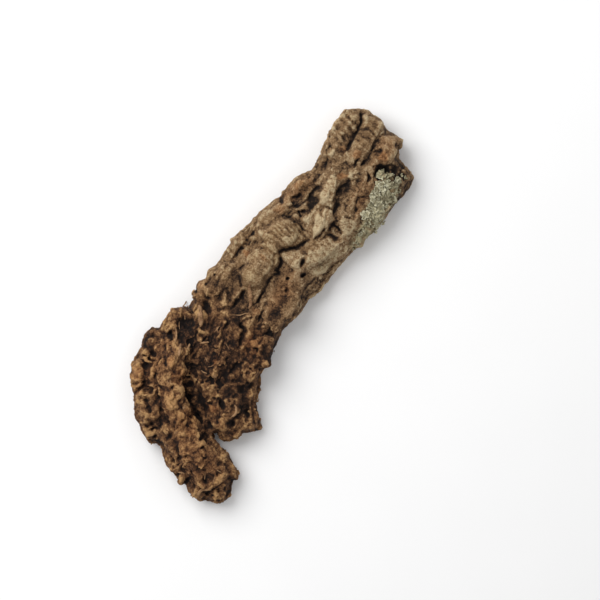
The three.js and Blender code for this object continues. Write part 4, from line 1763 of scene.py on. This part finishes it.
@dataclass
class Lichen:
    """A crust of small ruffled leaves that overlap like tiles."""

    name: str
    node: str
    outline: Sequence[Point]
    spacing: float
    size: tuple[float, float]
    seed: int
    rings: int = 3
    spokes: int = 24
    thickness: float = 0.35
    ruffle: float = 0.55
    curl: float = 0.25
    tilt: float = 0.22
    bare: float = -0.05

    def build(self, terrain: Terrain) -> bpy.types.Object:
        """Lays the leaves on the bark and joins them in one piece.

        Args:
            terrain: the back of the bark.

        Returns:
            The finished mesh object, not yet dressed.
        """
        rng = np.random.default_rng(self.seed)
        leaves = [self._leaf(rng, terrain, *place) for place in self._places(rng)]
        points, rims, backs = (np.concatenate(parts) for parts in zip(*leaves))
        pattern, faces = self._faces(), []
        for start in range(0, len(points), len(leaves[0][0])):
            faces += [[start + i for i in face] for face in pattern]
        piece = new_object(self.name, points, faces)
        add_mask(piece, "rim", rims)
        add_mask(piece, "back", backs)
        log.info("%s: %d leaves", self.name, len(leaves))
        return piece

    def _places(self, rng: np.random.Generator) -> list[Point]:
        """Chooses where the leaves grow: in clumps with bare bark between them.

        Args:
            rng: the random draws.

        Returns:
            The places in the frame, in the order in which the leaves are laid.
        """
        corners = np.array(self.outline)
        (x0, y0), (x1, y1) = corners.min(0), corners.max(0)
        x, y = np.meshgrid(np.arange(x0, x1, self.spacing), np.arange(y0, y1, self.spacing))
        x = (x + rng.uniform(-0.45, 0.45, x.shape) * self.spacing).ravel()
        y = (y + rng.uniform(-0.45, 0.45, y.shape) * self.spacing).ravel()
        depth = inside_distance(x, y, self.outline)
        clumps = Noise(self.seed).fractal((x, y), (2.6, 2.2, 1.0), 0.5) - 0.2 * smooth(2.0, -1.0, depth)
        kept = (depth > -1.0) & (clumps > self.bare)
        order = rng.permutation(np.nonzero(kept)[0])
        return [(x[i] + PLAN_ORIGIN[0], y[i] + PLAN_ORIGIN[1]) for i in order]

    def _blade(self, rng: np.random.Generator) -> tuple[Array, Array, Array, Array]:
        """Draws one leaf with lobes and ruffles, middle first and then ring by ring.

        Args:
            rng: the random draws.

        Returns:
            How far each corner is along the leaf, across it and lifted off it, and its share of
            the way from the middle to the rim.
        """
        smallest, largest = self.size
        radius = smallest + (largest - smallest) * rng.random() ** 2.2
        lobes = rng.integers(2, 5)
        turn = rng.uniform(0, math.tau)
        angle = np.linspace(0, math.tau, self.spokes, endpoint=False)
        lobed = 0.45 + 0.65 * np.abs(np.cos(lobes * angle / 2 + turn)) ** 0.7
        lobed *= 1 + 0.35 * np.cos(angle + rng.uniform(0, math.tau))
        lobed *= 1 + 0.15 * np.cos(7 * angle + rng.uniform(0, math.tau))
        share = np.linspace(0, 1, self.rings + 1)[1:, None]
        u = radius * share * lobed * np.cos(angle)
        v = radius * share * lobed * np.sin(angle)
        wave = np.sin(angle * rng.integers(2, 5) + turn) * self.ruffle * share**2
        lift = self.curl * radius * share**3 + wave + 0.05 * rng.standard_normal(wave.shape)
        share = np.broadcast_to(share, wave.shape)
        return tuple(np.concatenate([[0.0], part.ravel()]) for part in (u, v, lift, share))

    def _leaf(self, rng: np.random.Generator, terrain: Terrain, x: float, y: float) -> tuple[Array, ...]:
        """Lays one leaf on the bark, tipped a little and closed underneath.

        Args:
            rng: the random draws.
            terrain: the back of the bark.
            x: X of the leaf's middle.
            y: Y of the leaf's middle.

        Returns:
            Its corners, how near each is to the rim, and 1 for those underneath.
        """
        u, v, lift, share = self._blade(rng)
        z, slope_x, slope_y = terrain.lie(x, y)
        tip_x, tip_y = rng.normal(0, self.tilt, 2)
        east = np.array([1.0, 0.0, slope_x + tip_x])
        east /= np.linalg.norm(east)
        up = np.cross(east, [0.0, 1.0, slope_y + tip_y])
        up /= np.linalg.norm(up)
        north = np.cross(up, east)
        lift = lift + rng.uniform(0.3, 1.3)
        top = np.array([x, y, z]) + np.outer(u, east) + np.outer(v, north) + np.outer(lift, up)
        rim = np.tile(share, 2) * rng.uniform(0.2, 0.7) + rng.uniform(-0.1, 0.4)
        return np.concatenate([top, top - self.thickness * up]), rim, np.repeat([0.0, 1.0], len(top))

    def _faces(self) -> list[list[int]]:
        """Joins the corners of one leaf, closed round its rim.

        Returns:
            The corner numbers of each face.
        """
        n, faces = self.spokes, []
        under = 1 + self.rings * n
        rim = 1 + (self.rings - 1) * n
        for i in range(n):
            j = (i + 1) % n
            faces.append([0, 1 + i, 1 + j])
            faces.append([under, under + 1 + j, under + 1 + i])
            for a in range(1, rim, n):
                b = a + n
                faces.append([a + i, b + i, b + j, a + j])
                faces.append([under + a + i, under + a + j, under + b + j, under + b + i])
            faces.append([rim + i, under + rim + i, under + rim + j, rim + j])
        return faces


def evened(values: Array) -> Array:
    """Values along a line, each averaged with two neighbours on either side."""
    return np.convolve(np.pad(values, 2, mode="edge"), np.ones(5) / 5, "valid")


@dataclass
class Fibres:
    """Dry slivers and loose fibres lying on the bark."""

    terrain: Terrain
    seed: int = 5
    sides: int = 6
    loose: int = 45
    loose_width: tuple[float, float] = (0.35, 0.8)
    loose_length: tuple[float, float] = (3.0, 7.5)
    loose_lift: float = 0.45
    lowest: float = 12.0
    steepest: float = 4.5
    spacing: float = 0.7
    flatness: float = 0.45
    points: list = field(init=False, default_factory=list)
    faces: list = field(init=False, default_factory=list)

    def build(self) -> bpy.types.Object:
        """Makes every fibre and joins them in one piece.

        Returns:
            The finished mesh object, not yet dressed.
        """
        rng = np.random.default_rng(self.seed)
        for sliver in SLIVERS:
            self._strip(rng, np.array(sliver.path, float) + PLAN_ORIGIN, sliver.width, sliver.lift)
        for _ in range(self.loose):
            path = self._loose_path(rng)
            heights = self.terrain.height(path[:, 0], path[:, 1])
            if heights.min() > self.lowest and np.ptp(heights) < self.steepest:
                self._strip(rng, path, rng.uniform(*self.loose_width), self.loose_lift)
        piece = new_object("fibres", np.array(self.points), self.faces)
        log.info("fibres: %d corners", len(self.points))
        return piece

    def _loose_path(self, rng: np.random.Generator) -> Array:
        """Draws a short bent path somewhere on the broken part.

        Args:
            rng: the random draws.

        Returns:
            Four points in the frame.
        """
        start = np.array([rng.uniform(-138, -10), rng.uniform(-40, 45)])
        heading = rng.normal(0.3, 0.8)
        length = rng.uniform(*self.loose_length)
        bend = rng.normal(0, 0.35)
        step = np.array([math.cos(heading), math.sin(heading)]) * length / 3
        turn = np.array([-step[1], step[0]]) * bend
        return np.array([start + step * k + turn * k * (3 - k) / 2 for k in range(4)])

    def _strip(self, rng: np.random.Generator, path: Array, width: float, lift: float) -> None:
        """Adds one flat tapering strip that follows the bark along a path.

        Args:
            rng: the random draws.
            path: points in the frame.
            width: the width in its middle.
            lift: how far it stands off the bark.
        """
        lengths = np.concatenate([[0], np.cumsum(np.hypot(*np.diff(path, axis=0).T))])
        count = max(8, int(lengths[-1] / self.spacing))
        at = np.linspace(0, lengths[-1], count)
        x, y = (evened(np.interp(at, lengths, c)) for c in path.T)
        share = at / lengths[-1]
        from_middle = np.abs(2 * share - 1)
        z = np.maximum(self.terrain.lie(x, y)[0], self.terrain.height(x, y) - 0.3)
        z = evened(z + lift * (0.35 + 0.4 * from_middle))
        tangent = np.stack([np.gradient(x), np.gradient(y)], 1)
        tangent /= np.linalg.norm(tangent, axis=1, keepdims=True) + 1e-9
        half = width / 2 * np.clip(1.15 - from_middle**2.2, 0.12, 1.0)
        half *= 1 + 0.16 * rng.standard_normal(count)
        twist = rng.uniform(-0.5, 0.5) + rng.uniform(-0.7, 0.7) * share
        start, sides = len(self.points), range(self.sides)
        for i, k in itertools.product(range(count), sides):
            angle = math.tau * k / self.sides + twist[i]
            across, up = half[i] * math.cos(angle), half[i] * self.flatness * math.sin(angle)
            self.points.append((x[i] - tangent[i, 1] * across, y[i] + tangent[i, 0] * across, z[i] + up))
        for i, k in itertools.product(range(count - 1), sides):
            a, b = start + i * self.sides, start + (i + 1) * self.sides
            j = (k + 1) % self.sides
            self.faces.append([a + k, a + j, b + j, b + k])
        last = start + (count - 1) * self.sides
        self.faces.append([start + k for k in reversed(sides)])
        self.faces.append([last + k for k in sides])


# ---------------------------------------------------------------- the studio


@dataclass
class Studio:
    """Floor, lights and camera. The aim and the width of the view are in millimetres."""

    aim: tuple[float, float, float] = (9.3, -25.8, 12.0)
    turn: float = -60.0
    view_width: float = 420.0
    lens: float = 150.0
    sensor: float = 36.0
    clip: tuple[float, float] = (0.01, 50.0)
    floor_size: float = 6.0
    key_place: tuple[float, float, float] = (0.15, 0.75, 0.95)
    key_size: float = 1.0
    key_power: float = 12.5
    sky: tuple[float, float, float, float] = (1.0, 1.0, 1.0, 1.0)
    sky_strength: float = 0.6

    def build(self) -> None:
        """Sets up everything that isn't part of the object."""
        self._floor()
        self._lights()
        self._camera()
        bpy.context.scene.view_settings.view_transform = "Standard"

    def _floor(self) -> None:
        """A wide pale floor under the piece."""
        half = self.floor_size / 2 / MM
        corners = np.array([(-half, -half, 0), (half, -half, 0), (half, half, 0), (-half, half, 0)])
        floor = new_object("floor", corners, [[0, 1, 2, 3]], smooth_faces=False)
        floor.data.materials.append(FloorFinish().material())
        floor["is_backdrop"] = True

    def _lights(self) -> None:
        """A broad key from the far flank and an even sky."""
        key = bpy.data.lights.new("key", "AREA")
        key.shape = "DISK"
        key.size = self.key_size
        key.energy = self.key_power
        lamp = bpy.data.objects.new("key", key)
        lamp.location = self.key_place
        lamp.rotation_mode = "QUATERNION"
        lamp.rotation_quaternion = lamp.location.to_track_quat("Z", "Y")
        bpy.context.scene.collection.objects.link(lamp)
        world = bpy.data.worlds.new("sky")
        world.use_nodes = True
        background = world.node_tree.nodes["Background"]
        background.inputs["Color"].default_value = self.sky
        background.inputs["Strength"].default_value = self.sky_strength
        bpy.context.scene.world = world

    def _camera(self) -> None:
        """A camera that looks straight down on the piece."""
        data = bpy.data.cameras.new("camera")
        data.lens, data.sensor_width = self.lens, self.sensor
        data.clip_start, data.clip_end = self.clip
        camera = bpy.data.objects.new("camera", data)
        height = self.aim[2] + self.view_width * self.lens / self.sensor
        camera.location = Vector((self.aim[0], self.aim[1], height)) * MM
        camera.rotation_euler = (0.0, 0.0, math.radians(self.turn))
        bpy.context.scene.collection.objects.link(camera)
        bpy.context.scene.camera = camera


def main() -> None:
    """Builds the piece, what lies on it and the studio round it."""
    logging.basicConfig(level=logging.INFO, format="%(name)s: %(message)s")
    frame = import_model()
    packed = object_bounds()

    bark = Bark()
    piece = bark.build(frame["nodes"]["bark"])
    piece.data.materials.append(CorkFinish().material())
    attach(piece, "root")
    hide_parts("bark")

    terrain = Terrain(bark.grid)
    crusts = (
        Lichen("lichen_leaves", "lichen_patch", LICHEN_PATCH, 1.2, (0.8, 2.8), 21),
        Lichen("lichen_edge_leaves", "lichen_fringe", LICHEN_FRINGE, 1.4, (0.6, 2.0), 22),
    )
    for crust in crusts:
        leaves = crust.build(terrain)
        leaves.data.materials.append(LichenFinish().material(crust.name))
        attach(leaves, "root")
        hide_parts(crust.node)

    fibres = Fibres(terrain).build()
    fibres.data.materials.append(FibreFinish().material())
    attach(fibres, "root")

    Studio().build()
    bpy.context.view_layer.update()
    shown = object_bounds()
    for corner in (*packed, *shown):
        log.info("corner %s mm", tuple(round(v / MM, 1) for v in corner))


if __name__ == "__main__":
    main()
